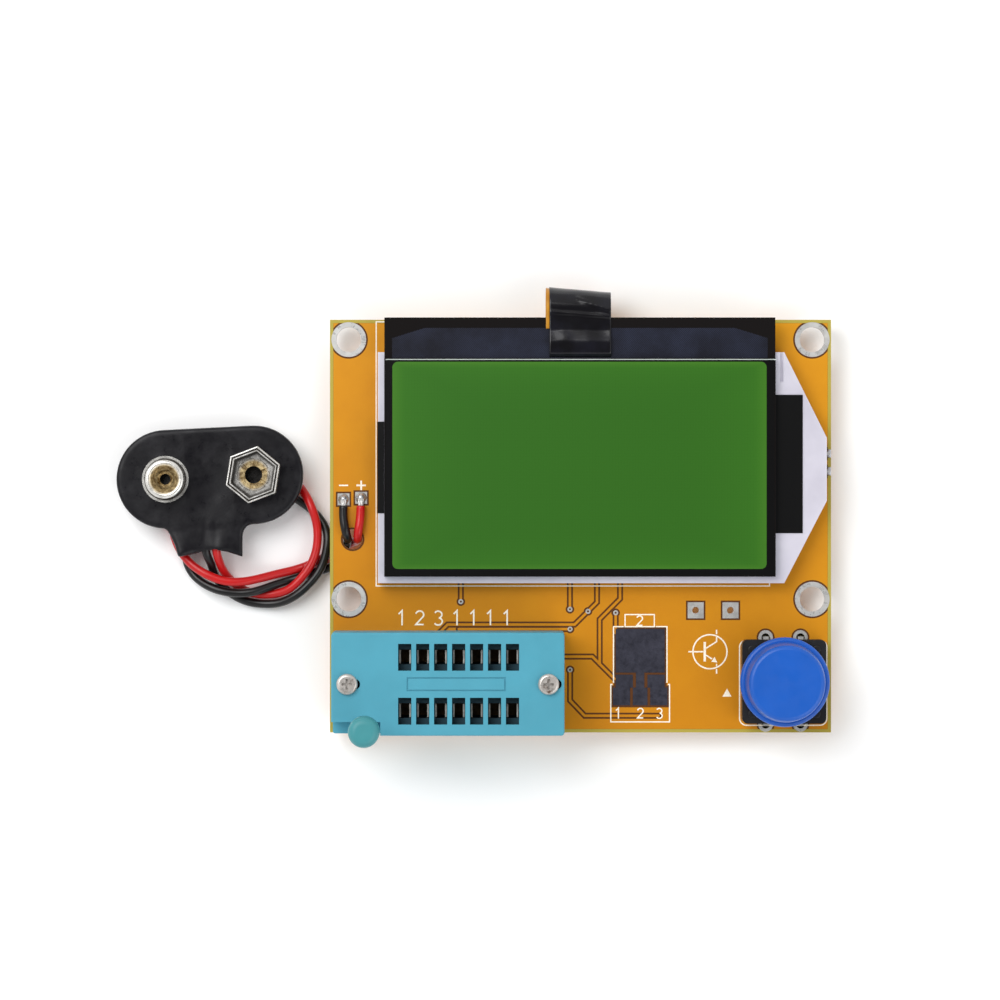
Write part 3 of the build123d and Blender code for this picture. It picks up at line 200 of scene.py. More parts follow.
def plastic(name, colour, rough=0.42, variation=0.08, grain=0.00001, grain_scale=9000, coat=0.0):
    """Moulded plastic: a faint cloudy tint, a fine moulded grain and slightly uneven gloss."""
    m = Mat(name)
    darker = tuple(c * (1 - variation) for c in colour[:3]) + (1,)
    lighter = tuple(min(1, c * (1 + variation)) for c in colour[:3]) + (1,)
    tint = m.ramp(m.noise(160, 4), (0.3, darker), (0.7, lighter))
    gloss = m.scale_range(m.noise(700, 3), 0.3, 0.7, rough - 0.05, rough + 0.06)
    m.set(Base_Color=tint, Roughness=gloss, Specular_IOR_Level=0.35)
    m.set(Coat_Weight=coat, Coat_Roughness=0.2)
    m.bump(m.noise(grain_scale, 4, 0.6), grain, 0.6)
    return m


def metal(
    name,
    colour,
    rough=0.28,
    variation=0.12,
    grain=0.000004,
    scale=2600,
    stretch=None,
    dirt=None,
    sheen=1.0,
):
    """Plated or tinned metal: uneven gloss, faint scratches and duller patches."""
    m = Mat(name)
    dull = tuple(c * (1 - variation) for c in colour[:3]) + (1,)
    tint = m.ramp(m.noise(420, 4), (0.35, dull), (0.65, colour))
    if dirt:
        spots = m.scale_range(m.noise(900, 4, 0.6), 0.56, 0.7)
        tint = m.mix(spots, tint, dirt)
    gloss = m.scale_range(m.noise(1500, 4, stretch=stretch), 0.3, 0.7, rough - 0.08, rough + 0.12)
    m.set(Base_Color=tint, Metallic=sheen, Roughness=gloss)
    m.bump(m.noise(scale, 4, stretch=stretch), grain, 0.7)
    return m


def solder_resist():
    """Orange resist over copper: deeper to the front left, glossy, with a faint orange peel."""
    m = Mat("solder_resist")
    x, y = m.axis(0), m.axis(1)
    along = m.math("ADD", m.math("MULTIPLY", x, 0.35), y)
    across = m.scale_range(along, -0.045, 0.028)
    deep = m.ramp(
        across,
        (0.0, srgb(196, 124, 6)),
        (0.55, srgb(204, 136, 12)),
        (1.0, srgb(212, 145, 18)),
    )
    mottle = m.scale_range(m.noise(260, 5), 0.3, 0.7)
    tint = m.mix(m.math("MULTIPLY", mottle, 0.2), deep, srgb(176, 104, 4))
    m.set(Base_Color=tint, Roughness=0.36, Specular_IOR_Level=0.3)
    m.set(Coat_Weight=0.15, Coat_Roughness=0.16)
    m.bump(m.noise(2400, 2), 0.000006, 0.5)
    return m.mat


def laminate():
    """Bare laminate: greenish rim, brown in the gaps, layered edge, and tinned supply holes whose
    near-white barrels add painted light through the holes.
    """
    rim_x, rim_y, middle_y = 0.03552, 0.02917, -0.00815
    barrel_r = 0.00056
    m = Mat("laminate")
    x, y = m.axis(0), m.axis(1)
    off_x = m.math("SUBTRACT", m.math("ABSOLUTE", x), rim_x)
    off_y = m.math("SUBTRACT", m.math("ABSOLUTE", m.math("SUBTRACT", y, middle_y)), rim_y)
    rim = m.math("GREATER_THAN", m.math("MAXIMUM", off_x, off_y), 0.0)
    face = m.mix(rim, srgb(88, 48, 8), srgb(172, 156, 66))
    layers = m.noise(120, 3, stretch=(1, 1, 60))
    edge = m.ramp(
        layers,
        (0.35, srgb(150, 138, 70)),
        (0.5, srgb(196, 186, 120)),
        (0.65, srgb(168, 156, 88)),
    )
    upright = m.math("LESS_THAN", m.math("ABSOLUTE", m.axis(2, normal=True)), 0.5)
    # painted light: the supply holes' barrels are near-white, brighter than their tin, as if lit
    # through the holes
    dy = m.math("SUBTRACT", y, SUPPLY_HOLES_Y)
    barrel = 0.0
    for hole_x in SUPPLY_HOLES_X:
        reach = m.span(m.math("SUBTRACT", x, hole_x), dy)
        barrel = m.math("MAXIMUM", barrel, m.math("LESS_THAN", reach, barrel_r))
    side = m.mix(barrel, edge, srgb(226, 226, 224))
    m.set(Base_Color=m.mix(upright, face, side), Roughness=0.5, Specular_IOR_Level=0.25)
    m.bump(m.noise(5000, 3), 0.00001, 0.5)
    return m.mat


def guide_acrylic():
    """Milky moulded acrylic that glows a little along the light's path."""
    m = Mat("guide_acrylic")
    cloud = m.ramp(m.noise(130, 4), (0.3, srgb(190, 187, 198)), (0.7, srgb(208, 205, 215)))
    m.set(Base_Color=cloud, Roughness=0.3)
    m.set(Subsurface_Weight=0.35, Subsurface_Radius=(0.003, 0.003, 0.003), Subsurface_Scale=0.4)
    m.set(Emission_Color=srgb(232, 228, 255), Emission_Strength=0.05)
    m.bump(m.noise(900, 3), 0.00001, 0.4)
    return m.mat


def lit_window():
    """The viewing area: backlit green, a touch paler towards its ends, with a fine cell grid."""
    middle_x, middle_y = -0.0002, 0.0005
    m = Mat("lit_window")
    dx = m.math("ABSOLUTE", m.math("SUBTRACT", m.axis(0), middle_x))
    edge_x = m.scale_range(dx, 0.012, 0.0275)
    dy = m.math("ABSOLUTE", m.math("SUBTRACT", m.axis(1), middle_y))
    edge_y = m.scale_range(dy, 0.006, 0.0150)
    near = m.math("MAXIMUM", m.math("POWER", edge_x, 2.0), m.math("POWER", edge_y, 3.0))
    body = m.ramp(
        near,
        (0.0, srgb(44, 96, 22)),
        (0.7, srgb(48, 102, 24)),
        (1.0, srgb(64, 116, 32)),
    )
    cells = m.nodes.new("ShaderNodeTexBrick")
    cells.offset = 0.0
    for socket, value in (
        ("Scale", 1000),
        ("Mortar Size", 0.02),
        ("Brick Width", 0.41),
        ("Row Height", 0.45),
        ("Color1", (1, 1, 1, 1)),
        ("Color2", (1, 1, 1, 1)),
        ("Mortar", (0.9, 0.9, 0.9, 1)),
    ):
        cells.inputs[socket].default_value = value
    m.links.new(m.coords, cells.inputs["Vector"])
    shade = m.nodes.new("ShaderNodeMix")
    shade.data_type = "RGBA"
    shade.blend_type = "MULTIPLY"
    shade.inputs[0].default_value = 1.0
    m.links.new(body, shade.inputs[6])
    m.links.new(cells.outputs["Color"], shade.inputs[7])
    tint = shade.outputs[2]
    m.set(Base_Color=tint, Roughness=0.32, Emission_Color=tint, Emission_Strength=0.02)
    m.set(Specular_IOR_Level=0.25, Coat_Weight=0.12, Coat_Roughness=0.12)
    m.bump(m.noise(6000, 2), 0.000003, 0.4)
    return m.mat


def dark_faced_glass():
    """Display glass: dark and opaque on its flat faces, green along its ground edges."""
    m = Mat("display_glass")
    upright = m.math("LESS_THAN", m.math("ABSOLUTE", m.axis(2, normal=True)), 0.5)
    edge = m.ramp(m.noise(800, 3), (0.3, srgb(120, 150, 140)), (0.7, srgb(186, 206, 198)))
    m.set(Base_Color=m.mix(upright, srgb(20, 17, 17), edge), Roughness=0.08, Coat_Weight=0.2)
    m.set(Transmission_Weight=m.math("MULTIPLY", upright, 0.35), IOR=1.5)
    m.bump(m.noise(1500, 2), 0.000004, 0.2)
    return m.mat


def film(name, colour, rough=0.3, sheen=None):
    """Thin printed or laminated film."""
    m = Mat(name)
    darker = tuple(c * 0.8 for c in colour[:3]) + (1,)
    tint = m.ramp(m.noise(500, 3), (0.3, darker), (0.7, colour))
    if sheen:
        patch = m.scale_range(m.noise(240, 3), 0.45, 0.65)
        tint = m.mix(m.math("MULTIPLY", patch, 0.6), tint, sheen)
    m.set(Base_Color=tint, Roughness=rough, Specular_IOR_Level=0.3, Coat_Weight=0.1)
    m.bump(m.noise(1800, 3), 0.00001, 0.4)
    return m.mat


def vinyl(name, colour, rough=0.45):
    """Soft vinyl: a fine pebbled skin with faint handling marks."""
    m = Mat(name)
    wear_and_highlight = tuple(min(1, c * 1.5 + 0.01) for c in colour[:3]) + (1,)
    tint = m.ramp(m.noise(300, 5, 0.6), (0.45, colour), (0.75, wear_and_highlight))
    gloss = m.scale_range(m.noise(900, 4), 0.3, 0.7, rough - 0.08, rough + 0.1)
    m.set(Base_Color=tint, Roughness=gloss, Specular_IOR_Level=0.2)
    m.set(Coat_Weight=0.03, Coat_Roughness=0.3)
    m.bump(m.noise(3200, 4, 0.6), 0.00002, 0.5)
    return m.mat


def wire_skin(name, colour):
    """Glossy extruded insulation."""
    m = Mat(name)
    deep = tuple(c * 0.8 for c in colour[:3]) + (1,)
    tint = m.ramp(m.noise(260, 4), (0.3, deep), (0.7, colour))
    m.set(Base_Color=tint, Roughness=0.32, Specular_IOR_Level=0.35)
    m.set(Coat_Weight=0.15, Coat_Roughness=0.2)
    m.bump(m.noise(1500, 3), 0.000012, 0.5)
    return m.mat


def snap_plating(name, bands, flats=None):
    """Nickel over brass: bright and shaded bands outside, brass-tinted towards the worn middle.

    The bands are (distance from the axis in millimetres, shade); on a hexagon, whose first flat
    faces the angle given, the distance is measured square to the flats.
    """
    m = Mat(name + "_plating")
    low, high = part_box(name)
    z = m.axis(2)
    dx = m.math("SUBTRACT", m.axis(0), (low.x + high.x) / 2)
    dy = m.math("SUBTRACT", m.axis(1), (low.y + high.y) / 2)
    radius = m.span(dx, dy)
    reach = radius
    if flats is not None:
        reach = 0.0
        for k in range(3):
            a = flats + k * pi / 3
            square = m.math("ADD", m.math("MULTIPLY", dx, cos(a)), m.math("MULTIPLY", dy, sin(a)))
            reach = m.math("MAXIMUM", reach, m.math("ABSOLUTE", square))
    limit = 4.2
    stops = [(at / limit, (shade, shade, shade, 1)) for at, shade in bands]
    lit = m.ramp(m.scale_range(reach, 0.0, limit * MM), *stops)
    silver = m.ramp(m.noise(700, 4), (0.3, srgb(200, 198, 192)), (0.7, srgb(246, 244, 240)))
    brass = m.ramp(m.noise(1400, 5, 0.7), (0.38, srgb(104, 78, 40)), (0.6, srgb(232, 208, 156)))
    middle = m.scale_range(radius, 0.00235, 0.0019)
    above, below = m.scale_range(z, 0.00245, 0.0028), m.scale_range(z, 0.00428, 0.00418)
    flank = m.math("MULTIPLY", above, below)
    outside = m.math("MULTIPLY", flank, m.scale_range(radius, 0.0019, 0.0023, 0.35, 0.85))
    tint = m.mix(lit, srgb(44, 36, 28), m.mix(middle, silver, brass))
    tint = m.mix(outside, tint, srgb(66, 54, 42))
    # painted shade: the well darkens to near black towards its bottom
    well_shade = m.scale_range(z, 0.0021, 0.0012)
    m.set(Base_Color=m.mix(well_shade, tint, srgb(18, 14, 10)))
    m.set(Metallic=m.scale_range(radius, 0.0019, 0.0024, 0.3, 0.75))
    m.set(Roughness=m.scale_range(m.noise(1300, 4), 0.3, 0.7, 0.2, 0.34))
    m.bump(m.noise(1200, 4), 0.000012, 0.5)
    return m.mat


def ledge_film():
    """Dark ledge with a fan of fine conductor lines, painted as a patchy bluish sheen."""
    m = Mat("ledge_lines")
    x, y = m.axis(0), m.axis(1)
    slant = m.math("ADD", m.math("ABSOLUTE", x), m.math("MULTIPLY", y, 1.1))
    lines = m.math("SINE", m.math("MULTIPLY", slant, 22000.0))
    level = m.scale_range(lines, -1, 1)
    sheen = m.scale_range(m.noise(160, 3), 0.35, 0.65, 0.25, 0.8)
    # painted sheen: a patchy bluish shine along the lines
    tint = m.mix(m.math("MULTIPLY", level, sheen), srgb(20, 19, 24), srgb(56, 62, 84))
    m.set(Base_Color=tint, Roughness=0.22, Coat_Weight=0.15, Metallic=0.15)
    m.bump(level, 0.000003, 0.3)
    return m.mat


def spring_alloy():
    """Contact springs: a painted highlight along their cut top edges, brown and in painted shade
    lower down.
    """
    m = Mat("spring_alloy")
    # painted light: brighter towards the top edges, darker and browner lower down
    top = m.scale_range(m.axis(2), 0.0096, 0.01033)
    wear_and_highlight = m.ramp(m.noise(1200, 4), (0.35, srgb(186, 184, 178)), (0.65, srgb(236, 234, 226)))
    deep = m.ramp(m.noise(800, 4), (0.3, srgb(70, 54, 36)), (0.7, srgb(124, 102, 70)))
    m.set(Base_Color=m.mix(top, deep, wear_and_highlight), Metallic=0.55, Roughness=0.36)
    m.bump(m.noise(2600, 3), 0.000005, 0.5)
    return m.mat


def socket_plastic():
    """Teal moulding whose slots fall into shade quickly below their rims."""
    slots_half_x, slots_half_y = 0.0090, 0.00205
    m = plastic("teal_plastic", TEAL, 0.45, 0.05)
    off_x = m.math("ABSOLUTE", m.math("SUBTRACT", m.axis(0), SOCKET_X * MM))
    near_x = m.math("LESS_THAN", off_x, slots_half_x)
    y = m.axis(1)
    rows = (m.math("ABSOLUTE", m.math("SUBTRACT", y, row * MM)) for row in SLOT_ROWS)
    near_y = m.math("LESS_THAN", m.math("MINIMUM", *rows), slots_half_y)
    depth = m.scale_range(m.axis(2), 0.01286, 0.0117)
    shade = m.math("MULTIPLY", m.math("MULTIPLY", near_x, near_y), depth)
    base = m.bsdf.inputs["Base Color"].links[0].from_socket
    m.set(Base_Color=m.mix(m.math("MULTIPLY", shade, 0.93), base, srgb(22, 52, 64)))
    return m.mat


def silk_ink():
    """Cream screen-printed ink, slightly thin in places."""
    m = Mat("legend_ink")
    tint = m.ramp(m.noise(2500, 4), (0.25, srgb(236, 222, 196)), (0.6, srgb(252, 244, 228)))
    m.set(Base_Color=tint, Roughness=0.6)
    m.bump(m.noise(9000, 3), 0.00001, 0.6)
    return m.mat


TEAL = srgb(74, 152, 173)
orange = solder_resist()
bare_board = laminate()
tin = metal("tinned_copper", srgb(196, 195, 192), 0.36, sheen=0.5).mat
bright = metal("bright_tin", srgb(214, 213, 210), 0.3, sheen=0.5).mat
pad_metal = metal("dull_pad", srgb(66, 66, 78), 0.42, 0.25, sheen=0.8).mat
rod_steel = metal("zinc_rod", srgb(200, 202, 204), 0.24, 0.1, stretch=(1, 1, 0.15)).mat
screw_nickel = metal(
    "screw_nickel", srgb(206, 200, 194), 0.3, 0.2, dirt=srgb(112, 92, 78), sheen=0.6
).mat
spring_metal = spring_alloy()
can_metal = metal("drawn_can", srgb(206, 206, 204), 0.3, 0.1, stretch=(8, 1, 1)).mat
solder_metal = metal(
    "solder", srgb(200, 202, 206), 0.22, 0.2, grain=0.00002, scale=1400, sheen=0.75
).mat
teal = socket_plastic()
knob_teal = plastic("knob_plastic", srgb(64, 140, 146), 0.4, 0.06).mat
black_case = plastic("black_case", srgb(22, 22, 25), 0.42, 0.25).mat
cap_blue = plastic("cap_plastic", srgb(20, 86, 180), 0.36, 0.06, coat=0.08).mat
epoxy = plastic("black_epoxy", srgb(36, 36, 38), 0.55, 0.2, 0.00003, 5000).mat
glaze = plastic("resistor_glaze", srgb(28, 28, 32), 0.3, 0.2).mat
sintered = plastic("capacitor_body", srgb(168, 132, 96), 0.5, 0.1).mat
foam = plastic("foam_tape", srgb(226, 226, 220), 0.8, 0.06, 0.00006, 3000).mat
white_film = plastic("white_film", srgb(240, 240, 244), 0.4, 0.03).mat
acrylic = guide_acrylic()
window_green = lit_window()
glass = dark_faced_glass()
black_print = film("black_print", srgb(6, 6, 7), 0.25)
tape_black = film("tape_black", srgb(14, 13, 17), 0.2, srgb(26, 26, 36))
shield_tape = film("shield_tape", srgb(4, 4, 5), 0.3)
polyimide = film("polyimide", srgb(196, 136, 30), 0.3, srgb(160, 96, 18))
ledge_lines = ledge_film()
vinyl_black = vinyl("snap_vinyl", srgb(17, 16, 20), 0.34)
fibre = film("fibre_board", srgb(52, 44, 38), 0.7)
red_skin = wire_skin("red_insulation", srgb(196, 18, 20))
black_skin = wire_skin("black_insulation", srgb(14, 13, 14))
round_plating = snap_plating(
    "snap_round_contact",
    ((2.74, 1), (2.8, 0.1), (2.98, 0.1), (3.06, 1)),
)
hex_plating = snap_plating(
    "snap_hex_contact",
    ((2.5, 1), (2.7, 0.25), (2.94, 0.1), (3.0, 1), (3.12, 1), (3.17, 0), (3.34, 0), (3.4, 1)),
    radians(48) + SNAP_TURN,
)
ink = silk_ink()
ground_edge_highlight = film("ground_edge_highlight", srgb(206, 214, 212), 0.5)

LOOKS = {
    "circuit_board": bare_board,
    "top_copper_pour": orange,
    "top_tracks": orange,
    "bottom_copper_pour": orange,
    "bottom_tracks": orange,
    "vias": tin,
    "mounting_hole_plating": bright,
    "test_pads": pad_metal,
    "solder_lands": tin,
    "pin_lands": bright,
    "display_foam_tape": foam,
    "backlight_reflector": white_film,
    "backlight_light_guide": acrylic,
    "backlight_diffuser": white_film,
    "backlight_led": white_film,
    "backlight_leads": bright,
    "rear_polariser": window_green,
    "rear_glass": glass,
    "glass_seal": black_print,
    "front_glass": glass,
    "front_polariser": window_green,
    "display_mask": black_print,
    "ledge_tracks": ledge_lines,
    "display_driver_chip": black_print,
    "flex_cable": polyimide,
    "flex_cover_tape": tape_black,
    "light_shield_left": shield_tape,
    "light_shield_right": shield_tape,
    "socket_base": teal,
    "socket_cover": teal,
    "socket_contacts": spring_metal,
    "socket_lever": rod_steel,
    "socket_lever_knob": knob_teal,
    "socket_screws": screw_nickel,
    "solder_joints": solder_metal,
    "lead_solder_joints": solder_metal,
    "switch_base": black_case,
    "switch_cover_plate": black_case,
    "switch_plunger": black_case,
    "switch_cap": cap_blue,
    "switch_dome": bright,
    "switch_terminals": tin,
    "microcontroller": epoxy,
    "microcontroller_leads": bright,
    "crystal_can": can_metal,
    "voltage_regulator": epoxy,
    "transistors": epoxy,
    "small_package_leads": bright,
    "resistors": glaze,
    "capacitors": sintered,
    "chip_end_caps": tin,
    "red_lead_board_end": red_skin,
    "black_lead_board_end": black_skin,
    "red_lead": red_skin,
    "black_lead": black_skin,
    "snap_cover": vinyl_black,
    "snap_plate": fibre,
    "snap_round_contact": round_plating,
    "snap_hex_contact": hex_plating,
}

for name, look in LOOKS.items():
    data = nodes[name].data
    data.materials.clear()
    data.materials.append(look)


# ------------------------------------------------------------------ mesh helpers


def new_piece(name, bm, material, body="board", smooth=False):
    """Turns a bmesh (in millimetres) into a piece that rides on a body."""
    bmesh.ops.recalc_face_normals(bm, faces=bm.faces)
    mesh = bpy.data.meshes.new(name)
    bm.to_mesh(mesh)
    bm.free()
    mesh.transform(Matrix.Scale(MM, 4))
    if smooth:
        mesh.shade_smooth()
    piece = bpy.data.objects.new(name, mesh)
    scene.collection.objects.link(piece)
    mesh.materials.append(material)
    if body:
        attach(piece, body)
    return piece


def add_slab(bm, outline, low, high):
    """A closed slab over a simple outline."""
    bottom = [bm.verts.new((x, y, low)) for x, y in outline]
    top = [bm.verts.new((x, y, high)) for x, y in outline]
    bm.faces.new(list(reversed(bottom)))
    bm.faces.new(top)
    for i in range(len(outline)):
        j = (i + 1) % len(outline)
        bm.faces.new((bottom[i], bottom[j], top[j], top[i]))


def ribbon(points, width, closed=False):
    """Left and right outlines of a stroke with mitred corners."""
    left, right = [], []
    count = len(points)
    for i, (x, y) in enumerate(points):
        before = points[i - 1] if i > 0 or closed else None
        after = points[(i + 1) % count] if i < count - 1 or closed else None
        ways = []
        for a, b in ((before, (x, y)), ((x, y), after)):
            if a and b:
                length = hypot(b[0] - a[0], b[1] - a[1])
                ways.append(((b[0] - a[0]) / length, (b[1] - a[1]) / length))
        nx = -sum(w[1] for w in ways)
        ny = sum(w[0] for w in ways)
        size = hypot(nx, ny)
        nx, ny = nx / size, ny / size
        mitre = 1 / max(0.4, nx * -ways[0][1] + ny * ways[0][0])
        reach = width / 2 * mitre
        left.append((x + nx * reach, y + ny * reach))
        right.append((x - nx * reach, y - ny * reach))
    return left, right


def add_stroke(bm, points, width, low, high, closed=False):
    """A printed stroke: a closed raised ribbon."""
    left, right = ribbon(points, width, closed)
    if not closed:
        add_slab(bm, left + right[::-1], low, high)
        return
    rings = []
    for outline in (left, right):
        rings.append([[bm.verts.new((x, y, z)) for x, y in outline] for z in (low, high)])
    (ol, oh), (il, ih) = rings
    count = len(points)
    for i in range(count):
        j = (i + 1) % count
        bm.faces.new((oh[i], oh[j], ih[j], ih[i]))
        bm.faces.new((ol[i], il[i], il[j], ol[j]))
        bm.faces.new((ol[i], ol[j], oh[j], oh[i]))
        bm.faces.new((il[i], ih[i], ih[j], il[j]))


def arc(cx, cy, rx, ry, start, end, count=14):
    """Points along an elliptical arc, angles in degrees."""
    out = []
    for i in range(count + 1):
        a = radians(start + (end - start) * i / count)
        out.append((cx + rx * cos(a), cy + ry * sin(a)))
    return out


def smooth_path(points, step=0.3):
    """A natural cubic through the way-points, sampled about every step millimetres."""
    p = np.array(points, float)
    legs = np.linalg.norm(np.diff(p, axis=0), axis=1)
    t = np.concatenate(([0.0], np.cumsum(legs)))
    h = np.diff(t)
    n = len(p)
    a = np.eye(n)
    b = np.zeros((n, 3))
    for i in range(1, n - 1):
        a[i, i - 1 : i + 2] = (h[i - 1], 2 * (h[i - 1] + h[i]), h[i])
        b[i] = 6 * ((p[i + 1] - p[i]) / h[i] - (p[i] - p[i - 1]) / h[i - 1])
    m = np.linalg.solve(a, b)
    out = []
    for s in np.linspace(0, t[-1], int(t[-1] / step) + 2):
        i = min(n - 2, int(np.searchsorted(t, s, side="right")) - 1)
        u, v = t[i + 1] - s, s - t[i]
        out.append(
            (m[i] * u**3 + m[i + 1] * v**3) / (6 * h[i])
            + (p[i] / h[i] - m[i] * h[i] / 6) * u
            + (p[i + 1] / h[i] - m[i + 1] * h[i] / 6) * v
        )
    return [Vector(q) for q in out]


def add_tube(bm, path, radius, sides=16):
    """A closed round tube along a path, with its ends eased inwards."""
    ease, ease_length = 0.86, 0.1 * radius
    ways = []
    for i in range(len(path)):
        a, b = path[max(0, i - 1)], path[min(len(path) - 1, i + 1)]
        ways.append((b - a).normalized())
    side = ways[0].orthogonal().normalized()
    rings = []
    last = len(path) - 1
    stations = [(path[0] - ways[0] * ease_length, 0, ease)]
    stations += [(q, i, 1.0) for i, q in enumerate(path)]
    stations.append((path[last] + ways[last] * ease_length, last, ease))
    for centre, i, swell in stations:
        way = ways[i]
        side = (side - way * side.dot(way)).normalized()
        other = way.cross(side)
        ring = []
        for k in range(sides):
            a = 2 * pi * k / sides
            ring.append(bm.verts.new(centre + (side * cos(a) + other * sin(a)) * radius * swell))
        rings.append(ring)
    for low, high in zip(rings, rings[1:]):
        for k in range(sides):
            j = (k + 1) % sides
            bm.faces.new((low[k], low[j], high[j], high[k]))
    bm.faces.new(rings[0][::-1])
    bm.faces.new(rings[-1])


def add_lathe(bm, profile, x, y, sides=28, wobble=0.0, seed=0.0, stretch=1.0):
    """A closed, slightly uneven solid of revolution about an upright axis.

    The profile runs from pole to pole as (radius, z); stretch draws it out along Y.
    """
    rings = []
    for r, z in profile:
        if r < 1e-6:
            rings.append([bm.verts.new((x, y, z))])
            continue
        ring = []
        for k in range(sides):
            a = 2 * pi * k / sides
            spot = Vector((cos(a) * 1.3 + seed, sin(a) * 1.3, z * 2 + seed))
            swell = 1 + wobble * noise.noise(spot)
            ring.append(bm.verts.new((x + r * swell * cos(a), y + r * swell * sin(a) * stretch, z)))
        rings.append(ring)
    for low, high in zip(rings, rings[1:]):
        count = max(len(low), len(high))
        for k in range(count):
            j = (k + 1) % count
            if len(low) == 1:
                bm.faces.new((low[0], high[j], high[k]))
            elif len(high) == 1:
                bm.faces.new((low[k], low[j], high[0]))
            else:
                bm.faces.new((low[k], low[j], high[j], high[k]))


def rectangle(left, right, front, rear):
    """Four corners, from the front left round to the rear left."""
    return [(left, front), (right, front), (right, rear), (left, rear)]


def rounded(left, right, front, rear, r):
    """A rectangle with corners of radius r."""
    corners = rectangle(left + r, right - r, front + r, rear - r)
    out = []
    for (cx, cy), a in zip(corners[2:] + corners[:2], (0, 90, 180, 270)):
        out += arc(cx, cy, r, r, a, a + 90, 6)
    return out


# ------------------------------------------------------------------ printed legend

# the ink lies on the resist, above and underneath
INK_LOW, INK_HIGH = 1.64, 1.64 + 0.018
UNDER_LOW, UNDER_HIGH = -0.058, -0.04
THIN, MARK, BAR = 0.17, 0.2, 0.34


def print_line(bm, points, width=THIN, closed=False, swell=0.0):
    """A stroke of ink on the board's upper face."""
    add_stroke(bm, points, width, INK_LOW, INK_HIGH + swell, closed)


def digit(bm, value, x, y, height, width):
    """A plain stroked numeral, 1 to 3, centred on x, y."""
    h = height / 2
    w = height * 0.27
    if value == 1:
        path = [(x - w * 0.75, y + h * 0.55), (x + w * 0.1, y + h), (x + w * 0.1, y - h)]
        print_line(bm, path, width)
    elif value == 2:
        path = arc(x, y + h * 0.45, w, h * 0.5, 165, -35, 12)
        path += [(x - w, y - h + width / 2), (x + w, y - h + width / 2)]
        print_line(bm, path, width)
    elif value == 3:
        upper = arc(x - w * 0.1, y + h * 0.47, w * 0.95, h * 0.47, 150, -80, 10)
        lower = arc(x - w * 0.1, y - h * 0.47, w * 1.05, h * 0.5, 80, -150, 10)
        print_line(bm, upper, width)
        print_line(bm, lower, width, swell=0.001)


# outlines of the display, the pads' number box, the test pads and the button
PADS_REAR, PADS_STEP, PADS_FRONT = -22.6, -30.9, -36.28
bm = bmesh.new()
print_line(bm, rectangle(-29.36, 27.16, -16.75, 21.2), closed=True)
print_line(bm, rectangle(6.4, 10.6, PADS_REAR, -20.86), closed=True)
print_line(bm, [(4.74, -30.66), (4.74, PADS_REAR), (6.2, PADS_REAR)])
print_line(bm, [(10.8, PADS_REAR), (12.42, PADS_REAR), (12.42, -30.66)])
foot = [(4.6, PADS_STEP), (4.35, PADS_STEP), (4.35, PADS_FRONT)]
foot += [(12.79, PADS_FRONT), (12.79, PADS_STEP), (12.56, PADS_STEP)]
print_line(bm, foot)
print_line(bm, rounded(22.85, 35.4, -36.77, -24.55, 1.0), closed=True)
new_piece("legend_outlines", bm, ink)

# numerals over the socket's slots, and round the test pads
bm = bmesh.new()
for x, value in zip((-25.7, -23.1, -20.4, -17.8, -15.4, -13.0, -10.6), (1, 2, 3, 1, 1, 1, 1)):
    digit(bm, value, x, -21.35, 2.1, 0.22)
for x, y, value in ((8.5, -21.75, 2), (5.4, -35.05, 1), (8.6, -35.05, 2), (11.35, -35.05, 3)):
    digit(bm, value, x, y, 1.5, 0.18)
new_piece("legend_numbers", bm, ink)

# minus and plus signs by the battery lands, and a triangle by the button
bm = bmesh.new()
print_line(bm, [(-34.7, -2.3), (-33.4, -2.3)], MARK)
plus = [(-32.2, -2.42), (-31.64, -2.42), (-31.64, -2.98), (-31.4, -2.98)]
plus += [(-31.4, -2.42), (-30.84, -2.42), (-30.84, -2.18), (-31.4, -2.18)]
plus += [(-31.4, -1.62), (-31.64, -1.62), (-31.64, -2.18), (-32.2, -2.18)]
add_slab(bm, plus, INK_LOW, INK_HIGH)
add_slab(bm, [(20.4, -32.65), (21.7, -32.65), (21.05, -31.5)], INK_LOW, INK_HIGH)
new_piece("legend_marks", bm, ink)

# a plain transistor symbol, its parts given from its middle
SYMBOL_X, SYMBOL_Y = 18.6, -26.2


def from_symbol(*offsets):
    return [(SYMBOL_X + dx, SYMBOL_Y + dy) for dx, dy in offsets]


bm = bmesh.new()
ring = arc(SYMBOL_X, SYMBOL_Y, 2.45, 2.45, 0, 360 * 35 / 36, 35)
print_line(bm, ring, MARK, True)
print_line(bm, from_symbol((-0.75, -1.4), (-0.75, 1.4)), BAR)
print_line(bm, from_symbol((-3.1, 0), (-2.6, 0)), MARK)
print_line(bm, from_symbol((-2.3, 0), (-0.95, 0)), MARK)
print_line(bm, from_symbol((-0.55, 0.5), (0.95, 1.45), (0.95, 2.1)), MARK)
print_line(bm, from_symbol((0.95, 2.5), (0.95, 3.15)), MARK)
print_line(bm, from_symbol((-0.55, -0.5), (0.3, -1.05)), MARK)
add_slab(bm, from_symbol((0.2, -1.45), (0.65, -0.75), (1.05, -1.55)), INK_LOW, INK_HIGH)
print_line(bm, from_symbol((0.95, -1.75), (0.95, -2.1)), MARK)
print_line(bm, from_symbol((0.95, -2.5), (0.95, -3.15)), MARK)
new_piece("legend_symbol", bm, ink)

